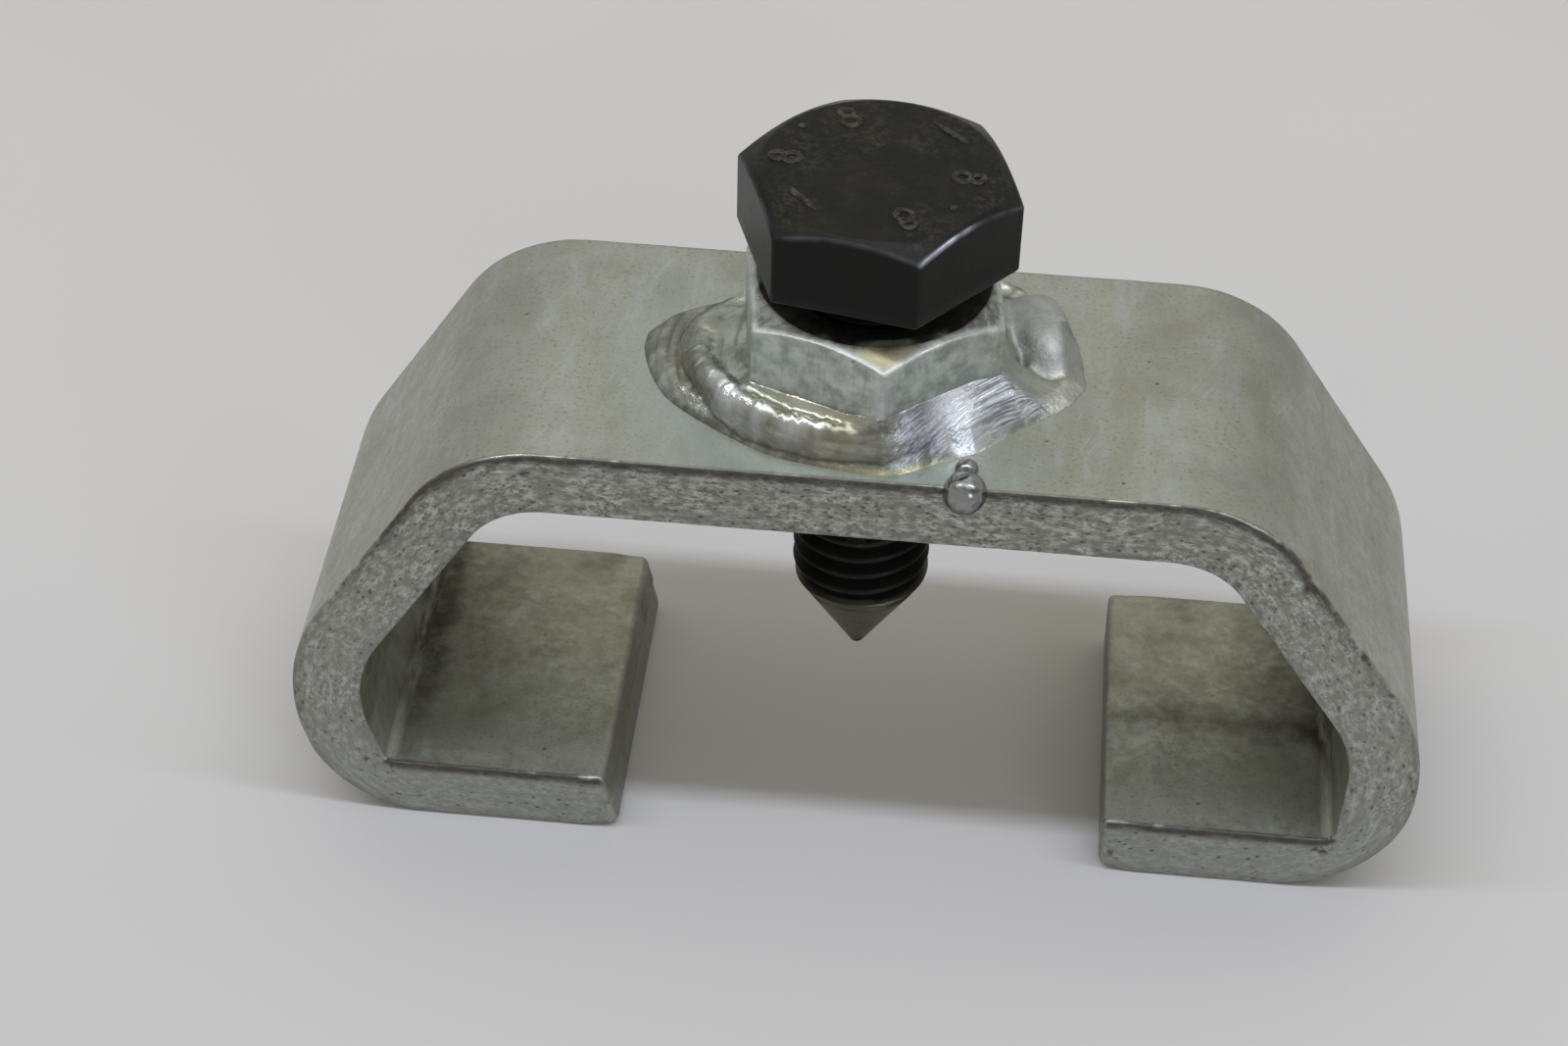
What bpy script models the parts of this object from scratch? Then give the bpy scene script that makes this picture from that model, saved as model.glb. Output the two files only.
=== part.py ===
"""Sprocket puller: a folded steel yoke with two hooked lips, a nut welded on its top bar and a pointed forcing bolt.

Metres, +Z up. The bolt's axis is the Z axis, the lips stand on Z = 0, X runs along the yoke's span and the
front face, where the spatter clings, looks towards -Y.
"""

import math

import bmesh
import bpy
from mathutils import Matrix, Vector

# Folded bar: flat stock and where its bend lines lie, measured on the outer face
BAR_WIDTH = 0.0250
BAR_THICKNESS = 0.0050
BAR_BEHIND_AXIS = 0.0006
YOKE_HEIGHT = 0.0353
SHOULDER_REACH = 0.0272
LEFT_KNEE_REACH = 0.0414
LEFT_KNEE_HEIGHT = 0.0133
LEFT_HEEL_REACH = 0.0370
LEFT_LIP_END = 0.0174
RIGHT_KNEE_REACH = 0.0409
RIGHT_KNEE_HEIGHT = 0.0153
RIGHT_HEEL_REACH = 0.0405
RIGHT_LIP_END = 0.0190

# Bend radii on the outer and the inner face; the heels were hammered tight, which thins their outside
SHOULDER_OUTER_RADIUS = 0.0107
SHOULDER_INNER_RADIUS = 0.0062
KNEE_OUTER_RADIUS = 0.0160
KNEE_INNER_RADIUS = 0.0095
HEEL_OUTER_RADIUS = 0.0098
HEEL_INNER_RADIUS = 0.0010
BEND_SEGMENTS = 12
STRAIGHT_SHARE = 0.98

# Cut edges of the bar
LEFT_LIP_SHEAR = 0.0012
LIP_EDGE_ROLL = 0.0009
LIP_ROLL_SHAPE = ((1.0, 0.0), (0.3, 0.3), (0.0, 1.0))
BAR_EDGE_BREAK = 0.0003
BAR_HOLE_RADIUS = 0.0055

# Hexagon nut, thread M10
NUT_ACROSS_FLATS = 0.0170
NUT_HEIGHT = 0.0080
NUT_TURN = math.radians(37.9)
NUT_COUNTERSINK = 0.0008
THREAD_CLEARANCE = 0.0003

# Forcing bolt, turned to a point at its end
THREAD_RADIUS = 0.00493
HEAD_ACROSS_FLATS = 0.0170
HEAD_HEIGHT = 0.0064
HEAD_TURN = math.radians(49.3)
HEAD_STAND_OFF = 0.0024
WASHER_FACE_RADIUS = 0.0079
WASHER_FACE_HEIGHT = 0.0002
SHANK_LENGTH = 0.0360
POINT_ANGLE = math.radians(62)
POINT_TIP_RADIUS = 0.0006

# Chamfer that both hexagons share: its angle, and its circle as a share of the flats
HEX_CHAMFER_ANGLE = math.radians(30)
HEX_CHAMFER_CIRCLE = 0.95

# Gap between pieces that touch on the real puller
SEAT_GAP = 0.0003

# Weld runs round the nut: each station is an angle in degrees from +X, how far the toe
# reaches past the nut's flats and how high the run climbs the nut, both in millimetres
FRONT_RUN = (
    (149, 4.2, 1.7), (162, 6.4, 2.0), (176, 7.4, 2.5), (196, 5.8, 3.0), (214, 4.1, 3.1),
    (236, 3.0, 3.0), (262, 2.6, 3.1), (278, 2.6, 3.7), (291, 2.3, 3.5),
)
RIGHT_RUN = (
    (292.8, 2.3, 3.4), (308, 2.5, 3.5), (324, 3.0, 3.9), (340, 4.2, 3.2), (354, 5.9, 1.8), (363, 6.7, 1.1),
)
BACK_RUN = (
    (366, 4.6, 1.4), (378, 6.0, 2.6), (391, 6.8, 3.2), (404, 6.2, 3.1),
    (425, 4.0, 2.9), (460, 3.1, 2.8), (490, 3.3, 2.7), (507, 4.0, 2.0),
)
RUN_SECTION = (0.0, 0.12, 0.26, 0.38, 0.48, 0.62, 0.78, 0.9, 1.0)
RUN_MIDDLE_REACH = 0.0015
RUN_LEAST_WIDTH = 0.0008
RUN_END_SHARE = 0.35
RUN_END_RISE = 0.5
TOE_HEIGHT = 0.00035
TOE_UNDERCUT = 0.0002
CAP_SHARE = 0.48
SKIRT_CENTRE = 0.42
SKIRT_HEIGHT = 0.44
RIPPLE_PITCH = 0.0013
RIPPLE_HEIGHT = 0.00014
STEPS_PER_RIPPLE = 4
BACK_RIPPLE_SHARE = 0.6

# Spatter: one large drop on the front top edge and a small one that ran into it
SPATTER_X = 0.0072
LARGE_DROP_RADIUS = 0.00153
LARGE_DROP_SINK = 0.00020
SMALL_DROP_RADIUS = 0.00082
SMALL_DROP_BACK = 0.00175
SMALL_DROP_RISE = 0.00055

ROUND_SEGMENTS = 48
SHARP_ANGLE = math.radians(32)
MILLIMETRE = 0.001

BAR_FRONT = BAR_BEHIND_AXIS - BAR_WIDTH / 2
NUT_BASE = YOKE_HEIGHT + SEAT_GAP
NUT_TOP = NUT_BASE + NUT_HEIGHT
BEARING_FACE = NUT_TOP + HEAD_STAND_OFF


def clear_scene():
    """Takes the start-up objects away."""
    for obj in list(bpy.data.objects):
        bpy.data.objects.remove(obj)


def metal(name, colour, roughness, metallic=1.0):
    """A plain metal with the piece's own colour."""
    material = bpy.data.materials.new(name)
    material.use_nodes = True
    shader = material.node_tree.nodes["Principled BSDF"]
    shader.inputs["Base Color"].default_value = (*colour, 1.0)
    shader.inputs["Roughness"].default_value = roughness
    shader.inputs["Metallic"].default_value = metallic
    return material


def place(name, bm, material=None, location=(0, 0, 0), smooth=True):
    """Turns a bmesh into an object of the scene, shaded smooth or, for a hexagon, flat."""
    bmesh.ops.recalc_face_normals(bm, faces=bm.faces)
    mesh = bpy.data.meshes.new(name)
    bm.to_mesh(mesh)
    bm.free()
    if smooth:
        mesh.shade_smooth()
        mesh.set_sharp_from_angle(angle=SHARP_ANGLE)
    obj = bpy.data.objects.new(name, mesh)
    obj.location = location
    if material:
        mesh.materials.append(material)
    bpy.context.scene.collection.objects.link(obj)
    return obj


def even_shading(obj):
    """Lets the large faces set the shading at the corners that they share with small ones."""
    modifier = obj.modifiers.new("even_shading", "WEIGHTED_NORMAL")
    modifier.keep_sharp = True
    return obj


def combine(target, tool, operation):
    """Cuts, keeps or joins the tool's shape; the tool itself is a hidden guide."""
    modifier = target.modifiers.new(f"{operation.lower()}_{tool.name}", "BOOLEAN")
    modifier.operation = operation
    modifier.object = tool
    modifier.solver = "EXACT"
    tool.hide_render = True
    tool.display_type = "WIRE"


def turned(outline, segments=ROUND_SEGMENTS):
    """A solid of revolution about Z from (radius, height) points that start and end on the axis."""
    bm = bmesh.new()
    verts = [bm.verts.new((radius, 0, height)) for radius, height in outline]
    edges = [bm.edges.new(pair) for pair in zip(verts, verts[1:])]
    bmesh.ops.spin(bm, geom=verts + edges, cent=(0, 0, 0), axis=(0, 0, 1), angle=math.tau, steps=segments,
                   use_merge=True, use_duplicate=False)
    bmesh.ops.remove_doubles(bm, verts=bm.verts, dist=1e-6)
    return bm


def hexagon_prism(across_flats, height, turn):
    """A hexagon prism that stands on Z = 0, with a corner at the given angle from +X."""
    bm = bmesh.new()
    from_first_corner = turn - math.pi / 2
    circumradius = across_flats / 2 / math.cos(math.pi / 6)
    stood_up = Matrix.Translation((0, 0, height / 2)) @ Matrix.Rotation(from_first_corner, 4, "Z")
    bmesh.ops.create_cone(bm, cap_ends=True, segments=6, radius1=circumradius, radius2=circumradius, depth=height,
                          matrix=stood_up)
    return bm


def chamfer_form(across_flats, height, above=0.001):
    """The cone that trims a hexagon's upper corners: full width low down, the chamfer circle at the top."""
    circle = across_flats / 2 * HEX_CHAMFER_CIRCLE
    wide = across_flats
    drop = (wide - circle) * math.tan(HEX_CHAMFER_ANGLE)
    low = min(-above, height - drop - above)
    return turned([(0, height), (circle, height), (wide, height - drop), (wide, low), (0, low)], 96)


def fillet(before, corner, after, radius):
    """Points of the arc that rounds a corner of an outline, from one straight to the next."""
    towards_before = (before - corner).normalized()
    towards_after = (after - corner).normalized()
    half = towards_before.angle(towards_after) / 2
    centre = corner + (towards_before + towards_after).normalized() * (radius / math.sin(half))
    start = corner + towards_before * (radius / math.tan(half)) - centre
    end = corner + towards_after * (radius / math.tan(half)) - centre
    sweep = math.copysign(math.pi - 2 * half, start.cross(end))
    turns = [Matrix.Rotation(sweep * step / BEND_SEGMENTS, 2) for step in range(BEND_SEGMENTS + 1)]
    return [centre + turn @ start for turn in turns]


def rounded(chain, radii):
    """An outline through the chain's points, its inner corners rounded by arcs that never overrun a straight."""
    tangents = [0.0]
    for before, corner, after, radius in zip(chain, chain[1:], chain[2:], radii):
        tangents.append(radius / math.tan((before - corner).angle(after - corner) / 2))
    tangents.append(0.0)
    room = [(b - a).length * STRAIGHT_SHARE / max(s + t, 1e-9)
            for a, b, s, t in zip(chain, chain[1:], tangents, tangents[1:])]
    points = [chain[0]]
    for i, radius in enumerate(radii):
        points += fillet(*chain[i:i + 3], radius * min(1.0, room[i], room[i + 1]))
    return points + [chain[-1]]


def offset_corner(before, corner, after, distance):
    """Where the two straights that meet at a corner cross once both are moved sideways by the distance."""
    first = (corner - before).normalized()
    second = (after - corner).normalized()
    first_side = Vector((first.y, -first.x))
    second_side = Vector((second.y, -second.x))
    middle = (first_side + second_side).normalized()
    return corner + middle * (distance / middle.dot(first_side))


def half_outline(knee, knee_height, heel, lip_end, shear):
    """One half's outline as (reach, height) points, from the middle of the top to the lip's end and back."""
    top = Vector((0, YOKE_HEIGHT))
    toe = Vector((lip_end - shear, 0))
    outer = [top, Vector((SHOULDER_REACH, YOKE_HEIGHT)), Vector((knee, knee_height)), Vector((heel, 0)), toe]
    corners = [offset_corner(*outer[i:i + 3], BAR_THICKNESS) for i in range(3)]
    inner = [top - Vector((0, BAR_THICKNESS)), *corners, Vector((lip_end, BAR_THICKNESS))]
    outside = rounded(outer, (SHOULDER_OUTER_RADIUS, KNEE_OUTER_RADIUS, HEEL_OUTER_RADIUS))[1:-1]
    inside = rounded(inner, (SHOULDER_INNER_RADIUS, KNEE_INNER_RADIUS, HEEL_INNER_RADIUS))[1:]
    roll = [toe + Vector((along, up)) * LIP_EDGE_ROLL for along, up in LIP_ROLL_SHAPE]
    return outside + roll + inside[::-1]


def yoke(material):
    """The bar, folded as one outline across its width, with its edges broken and its hole drilled."""
    right = half_outline(RIGHT_KNEE_REACH, RIGHT_KNEE_HEIGHT, RIGHT_HEEL_REACH, RIGHT_LIP_END, 0)
    left = half_outline(LEFT_KNEE_REACH, LEFT_KNEE_HEIGHT, LEFT_HEEL_REACH, LEFT_LIP_END, LEFT_LIP_SHEAR)
    outline = right + [Vector((-point.x, point.y)) for point in reversed(left)]
    bm = bmesh.new()
    face = bm.faces.new([bm.verts.new((point.x, BAR_FRONT, point.y)) for point in outline])
    sides = bmesh.ops.extrude_face_region(bm, geom=[face])
    moved = [item for item in sides["geom"] if isinstance(item, bmesh.types.BMVert)]
    bmesh.ops.translate(bm, verts=moved, vec=(0, BAR_WIDTH, 0))
    rims = [edge for edge in bm.edges if abs(edge.verts[0].co.y - edge.verts[1].co.y) < 1e-6]
    bmesh.ops.bevel(bm, geom=rims, offset=BAR_EDGE_BREAK, offset_type="OFFSET", affect="EDGES", segments=2,
                    profile=0.5, material=-1)
    bar = place("yoke", bm, material)
    above = YOKE_HEIGHT + BAR_THICKNESS
    below = YOKE_HEIGHT - 2 * BAR_THICKNESS
    drill = turned([(0, above), (BAR_HOLE_RADIUS, above), (BAR_HOLE_RADIUS, below), (0, below)])
    combine(bar, place("yoke_drill", drill), "DIFFERENCE")
    return even_shading(bar)


def weld_nut(material):
    """Hexagon nut with its upper corners chamfered and a bore that clears the bolt's thread."""
    hexagon = hexagon_prism(NUT_ACROSS_FLATS, NUT_HEIGHT, NUT_TURN)
    nut = place("weld_nut", hexagon, material, (0, 0, NUT_BASE), smooth=False)
    trim = place("nut_chamfer", chamfer_form(NUT_ACROSS_FLATS, NUT_HEIGHT), None, (0, 0, NUT_BASE))
    combine(nut, trim, "INTERSECT")
    bore = THREAD_RADIUS + THREAD_CLEARANCE
    mouth = bore + NUT_COUNTERSINK
    past = NUT_COUNTERSINK
    outline = [(0, NUT_HEIGHT + past), (mouth + past, NUT_HEIGHT + past), (bore, NUT_HEIGHT - NUT_COUNTERSINK),
               (bore, NUT_COUNTERSINK), (mouth + past, -past), (0, -past)]
    combine(nut, place("nut_bore", turned(outline), None, (0, 0, NUT_BASE)), "DIFFERENCE")
    return even_shading(nut)


def shank_outline():
    """The washer face, the thread's cylinder and the turned point, from inside the head down to the tip."""
    half = POINT_ANGLE / 2
    apex = -SHANK_LENGTH - POINT_TIP_RADIUS * (1 / math.sin(half) - 1)
    shoulder = apex + THREAD_RADIUS / math.tan(half)
    tip_centre = -SHANK_LENGTH + POINT_TIP_RADIUS
    arc = []
    for step in range(5):
        angle = half + step * (math.pi / 2 - half) / 5
        arc.append((POINT_TIP_RADIUS * math.cos(angle), tip_centre - POINT_TIP_RADIUS * math.sin(angle)))
    inside = HEAD_HEIGHT / 2
    return [(0, inside), (WASHER_FACE_RADIUS, inside), (WASHER_FACE_RADIUS, 0), (THREAD_RADIUS, 0),
            (THREAD_RADIUS, shoulder), *arc, (0, -SHANK_LENGTH)]


def forcing_bolt(material):
    """One-piece bolt: a hexagon head with trimmed corners on a shank that ends in a turned point."""
    hexagon = hexagon_prism(HEAD_ACROSS_FLATS, HEAD_HEIGHT - WASHER_FACE_HEIGHT, HEAD_TURN)
    bmesh.ops.translate(hexagon, verts=hexagon.verts, vec=(0, 0, WASHER_FACE_HEIGHT))
    bolt = place("forcing_bolt", hexagon, material, (0, 0, BEARING_FACE), smooth=False)
    trim = place("head_chamfer", chamfer_form(HEAD_ACROSS_FLATS, HEAD_HEIGHT), None, (0, 0, BEARING_FACE))
    combine(bolt, trim, "INTERSECT")
    combine(bolt, place("bolt_shank", turned(shank_outline()), None, (0, 0, BEARING_FACE)), "UNION")
    return even_shading(bolt)


def smooth_between(stations, angle):
    """Toe reach and height of a weld run at an angle in degrees, eased from station to station."""
    for (a, reach_a, high_a), (b, reach_b, high_b) in zip(stations, stations[1:]):
        if angle <= b:
            share = max(angle - a, 0) / (b - a)
            eased = share * share * (3 - 2 * share)
            reach = reach_a + (reach_b - reach_a) * eased
            high = high_a + (high_b - high_a) * eased
            return reach * MILLIMETRE, high * MILLIMETRE
    return stations[-1][1] * MILLIMETRE, stations[-1][2] * MILLIMETRE


def nut_wall(angle):
    """Distance from the axis to the nut's wall, seen at an angle in radians."""
    off_flat = (angle - NUT_TURN) % (math.pi / 3) - math.pi / 6
    return NUT_ACROSS_FLATS / 2 / math.cos(off_flat)


def arch(share):
    """A half circle's height: 1 at its middle and 0 at shares of -1 and 1, and beyond."""
    return math.sqrt(max(1 - share * share, 0))


def two_lobes(share):
    """Height of a run laid in two passes: a cap beside the nut and a lower skirt outside it."""
    cap = arch(share / CAP_SHARE)
    skirt = SKIRT_HEIGHT * arch((share - SKIRT_CENTRE) / (1 - SKIRT_CENTRE))
    return max(cap, skirt)


def ground_flat(share):
    """Height of a run that was ground down to a slope."""
    return 1 - share


def one_dome(share):
    """Height of a run left as one round bead."""
    return arch(share)


def run_section(stations, section, angle, rounding, swell):
    """One cross-section of a run, as (distance from the axis, height) points from the nut's wall to the toe."""
    reach, high = smooth_between(stations, math.degrees(angle))
    inner = nut_wall(angle) + SEAT_GAP
    toe = max(NUT_ACROSS_FLATS / 2 + reach, inner + RUN_LEAST_WIDTH)
    points = [(inner, 0.0)]
    for share in RUN_SECTION:
        height = TOE_HEIGHT + (high * rounding - TOE_HEIGHT) * section(share)
        points.append((inner + (toe - inner) * share, height + swell * arch(2 * share - 1)))
    points.append((toe - TOE_UNDERCUT, 0.0))
    return points


def weld_run(name, stations, section, ripple_height, material):
    """Sweeps a bead's section round the nut from the first station to the last, a little off its walls."""
    first = math.radians(stations[0][0])
    last = math.radians(stations[-1][0])
    length = (last - first) * (NUT_ACROSS_FLATS / 2 + RUN_MIDDLE_REACH)
    steps = max(8, round(length / RIPPLE_PITCH * STEPS_PER_RIPPLE))
    base = Vector((0, 0, YOKE_HEIGHT + SEAT_GAP))
    bm = bmesh.new()
    rings = []
    for step in range(steps + 1):
        angle = first + (last - first) * step / steps
        from_end = min(step, steps - step) / STEPS_PER_RIPPLE
        rounding = math.sqrt(min(1.0, RUN_END_SHARE + from_end * RUN_END_RISE))
        swell = ripple_height * math.cos(step / STEPS_PER_RIPPLE * math.tau)
        outwards = Vector((math.cos(angle), math.sin(angle), 0))
        points = run_section(stations, section, angle, rounding, swell)
        rings.append([bm.verts.new(base + outwards * distance + Vector((0, 0, up))) for distance, up in points])
    for ring, following in zip(rings, rings[1:]):
        for i in range(len(ring)):
            j = (i + 1) % len(ring)
            bm.faces.new((ring[i], ring[j], following[j], following[i]))
    bm.faces.new(rings[0])
    bm.faces.new(reversed(rings[-1]))
    return place(name, bm, material)


def drop(radius, location):
    """A round drop of spatter."""
    bm = bmesh.new()
    bmesh.ops.create_icosphere(bm, subdivisions=3, radius=radius, matrix=Matrix.Translation(location))
    return bm


def weld_spatter(material):
    """Two drops that ran together over the bar's front top edge, cut off just short of its faces."""
    edge = Vector((SPATTER_X, BAR_FRONT, YOKE_HEIGHT))
    large = place("weld_spatter", drop(LARGE_DROP_RADIUS, edge - Vector((0, 0, LARGE_DROP_SINK))), material)
    beside = edge + Vector((0, SMALL_DROP_BACK, SMALL_DROP_RISE))
    combine(large, place("small_drop", drop(SMALL_DROP_RADIUS, beside)), "UNION")
    side = 4 * LARGE_DROP_RADIUS
    seat = bmesh.new()
    bmesh.ops.create_cube(seat, size=side)
    clear_of_edge = side / 2 - SEAT_GAP
    bmesh.ops.translate(seat, vec=edge + Vector((0, clear_of_edge, -clear_of_edge)), verts=seat.verts)
    combine(large, place("spatter_seat", seat), "DIFFERENCE")
    return even_shading(large)


def main():
    clear_scene()
    zinc = metal("dull_zinc_plate", (0.45, 0.46, 0.43), 0.42)
    nut_zinc = metal("nut_zinc_plate", (0.52, 0.54, 0.51), 0.35)
    bead = metal("weld_metal", (0.55, 0.54, 0.53), 0.25)
    oxide = metal("black_oxide_steel", (0.03, 0.03, 0.032), 0.4)
    yoke(zinc)
    weld_nut(nut_zinc)
    weld_run("weld_front_run", FRONT_RUN, two_lobes, RIPPLE_HEIGHT, bead)
    weld_run("weld_right_run", RIGHT_RUN, ground_flat, 0.0, bead)
    weld_run("weld_back_run", BACK_RUN, one_dome, BACK_RIPPLE_SHARE * RIPPLE_HEIGHT, bead)
    weld_spatter(bead)
    forcing_bolt(oxide)


if __name__ == "__main__":
    main()
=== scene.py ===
"""The looks of a small sprocket puller: a folded zinc-plated bar, a welded nut and a pointed forcing bolt."""

import math

import bmesh
import bpy
import numpy as np
from bpy.props import FloatProperty, FloatVectorProperty, PointerProperty
from mathutils import Matrix, Vector, noise


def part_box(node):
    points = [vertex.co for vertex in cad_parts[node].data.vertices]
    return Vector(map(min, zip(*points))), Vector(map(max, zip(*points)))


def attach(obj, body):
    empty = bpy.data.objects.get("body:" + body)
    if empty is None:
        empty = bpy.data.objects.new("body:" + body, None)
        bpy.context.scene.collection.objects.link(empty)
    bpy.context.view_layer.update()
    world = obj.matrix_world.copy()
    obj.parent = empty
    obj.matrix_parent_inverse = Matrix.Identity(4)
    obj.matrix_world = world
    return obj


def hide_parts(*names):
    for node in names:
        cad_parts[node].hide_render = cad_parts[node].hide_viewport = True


bl_info = {
    "name": "Sprocket puller",
    "version": (1, 0, 0),
    "blender": (4, 5, 0),
    "location": "3D View > Sidebar > Puller",
    "description": "Dresses the packed sprocket puller: folded bar, welded nut, weld, spatter and forcing bolt",
    "category": "Object",
}

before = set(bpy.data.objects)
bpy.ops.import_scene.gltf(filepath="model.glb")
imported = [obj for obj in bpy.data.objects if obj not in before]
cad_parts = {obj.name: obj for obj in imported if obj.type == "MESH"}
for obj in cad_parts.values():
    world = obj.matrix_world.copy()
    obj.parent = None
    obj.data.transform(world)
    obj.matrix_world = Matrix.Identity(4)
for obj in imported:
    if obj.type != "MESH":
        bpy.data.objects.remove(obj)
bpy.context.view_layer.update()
MM = 0.001
BAR_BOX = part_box("yoke")
NUT_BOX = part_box("weld_nut")
BOLT_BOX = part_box("forcing_bolt")


def number(name, description, default, unit="NONE", **limits):
    """A plain number property."""
    return FloatProperty(name=name, description=description, default=default, unit=unit, **limits)


def length(name, description, default):
    """A length property in metres."""
    return number(name, description, default, "LENGTH", precision=5)


def colour(name, description, default):
    """A colour property."""
    return FloatVectorProperty(name=name, description=description, default=default, subtype="COLOR", min=0, max=1)


class BarSizes(bpy.types.PropertyGroup):
    """Sizes of the folded flat bar, the same as those of its solid."""

    thickness: length("Thickness", "Thickness of the flat bar", 0.0050)
    shoulder_reach: length("Shoulder reach", "Outer corner between the top and a leg", 0.0272)
    left_knee_reach: length("Left knee reach", "Outer corner half way down the left leg", 0.0414)
    left_knee_height: length("Left knee height", "Height of that corner", 0.0133)
    left_heel_reach: length("Left heel reach", "Outer corner between the left leg and its lip", 0.0370)
    left_lip_end: length("Left lip end", "Where the left lip is cut off", 0.0174)
    left_lip_shear: length("Left lip shear", "How far that cut leans back at its foot", 0.0012)
    right_knee_reach: length("Right knee reach", "Outer corner half way down the right leg", 0.0409)
    right_knee_height: length("Right knee height", "Height of that corner", 0.0153)
    right_heel_reach: length("Right heel reach", "Outer corner between the right leg and its lip", 0.0405)
    right_lip_end: length("Right lip end", "Where the right lip is cut off", 0.0190)
    edge_radius: length("Edge radius", "Roll-over of the outer edges", 0.00034)
    burr_height: length("Burr height", "Thin ridge along the outer front edge", 0.00009)
    grain_depth: length("Grain depth", "Relief of the cut faces", 0.00004)


class HardwareSizes(bpy.types.PropertyGroup):
    """Sizes of the nut and the bolt."""

    across_flats: length("Across flats", "Width of both hexagons", 0.0170)
    corner_radius: length("Corner radius", "Rounding of the hexagons' upright corners", 0.00035)
    nut_turn: number("Nut turn", "A corner's angle from +X", math.radians(37.9), "ROTATION")
    head_turn: number("Head turn", "A corner's angle from +X", math.radians(49.3), "ROTATION")
    chamfer_share: number("Chamfer circle", "Its diameter as a share of the flats", 0.95, min=0.5, max=1.0)
    bore_radius: length("Bore radius", "Radius of the nut's bore", 0.00523)
    head_height: length("Head height", "Height of the bolt's head over its bearing face", 0.0064)
    thread_radius: length("Thread radius", "Outer radius of the thread", 0.00493)
    pitch: length("Pitch", "Rise of the thread in one turn", 0.0015)
    point_angle: number("Point angle", "Full angle of the turned point", math.radians(62), "ROTATION")
    mark_height: length("Mark height", "Height of the raised marks on the head", 0.00016)


class WeldSizes(bpy.types.PropertyGroup):
    """Sizes of the weld and its spatter."""

    ripple_pitch: length("Ripple pitch", "Distance from one ripple of a bead to the next", 0.0012)
    ripple_height: length("Ripple height", "Height of those ripples", 0.000035)
    spatter_x: length("Spatter place", "Where the drops cling to the front edge", 0.0072)
    drop_radius: length("Large drop", "Radius of the large drop", 0.00150)
    small_drop_radius: length("Small drop", "Radius of the small drop beside it", 0.00080)


class Finishes(bpy.types.PropertyGroup):
    """Colours of the finishes."""

    zinc_light: colour("Zinc, light", "Lighter cloud of the zinc plate", (0.46, 0.475, 0.425))
    zinc_dark: colour("Zinc, dark", "Darker cloud of the zinc plate", (0.375, 0.388, 0.342))
    cut_light: colour("Cut, light", "Bright flecks of the cut faces", (0.58, 0.60, 0.56))
    cut_dark: colour("Cut, dark", "Dark flecks of the cut faces", (0.13, 0.125, 0.095))
    stain: colour("Stain", "Olive stain inside the hooks", (0.262, 0.258, 0.180))
    weld_bright: colour("Weld, bright", "Clean weld metal", (0.52, 0.545, 0.50))
    weld_brown: colour("Weld, tinted", "Brown heat tint of the weld", (0.135, 0.132, 0.10))
    oxide: colour("Black oxide", "Black finish of the bolt", (0.0055, 0.0056, 0.0056))
    oxide_brown: colour("Oxide, rubbed", "Brown bloom on the black finish", (0.017, 0.0145, 0.008))
    floor: colour("Floor", "Colour of the pale floor", (0.524, 0.519, 0.548))


class StageSizes(bpy.types.PropertyGroup):
    """The camera and the lamps."""

    lens: number("Lens", "Focal length in millimetres on a 36 mm sensor", 72.62)
    tube_length: length("Tube length", "Length of the long lamp over the puller", 2.0)
    tube_width: length("Tube width", "Width of that lamp", 0.07)
    tube_height: length("Tube height", "Height of that lamp", 1.0)
    tube_power: number("Tube power", "Power of that lamp", 7.6, "POWER")
    ceiling_power: number("Ceiling power", "Power of the broad warm lamp overhead", 4.2, "POWER")
    window_power: number("Window power", "Power of the cool side lamp", 1.1, "POWER")
    room_level: number("Room level", "Light that comes from all round", 0.485)


GROUPS = {
    "puller_bar": BarSizes, "puller_hardware": HardwareSizes, "puller_weld": WeldSizes,
    "puller_finish": Finishes, "puller_stage": StageSizes,
}


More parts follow.
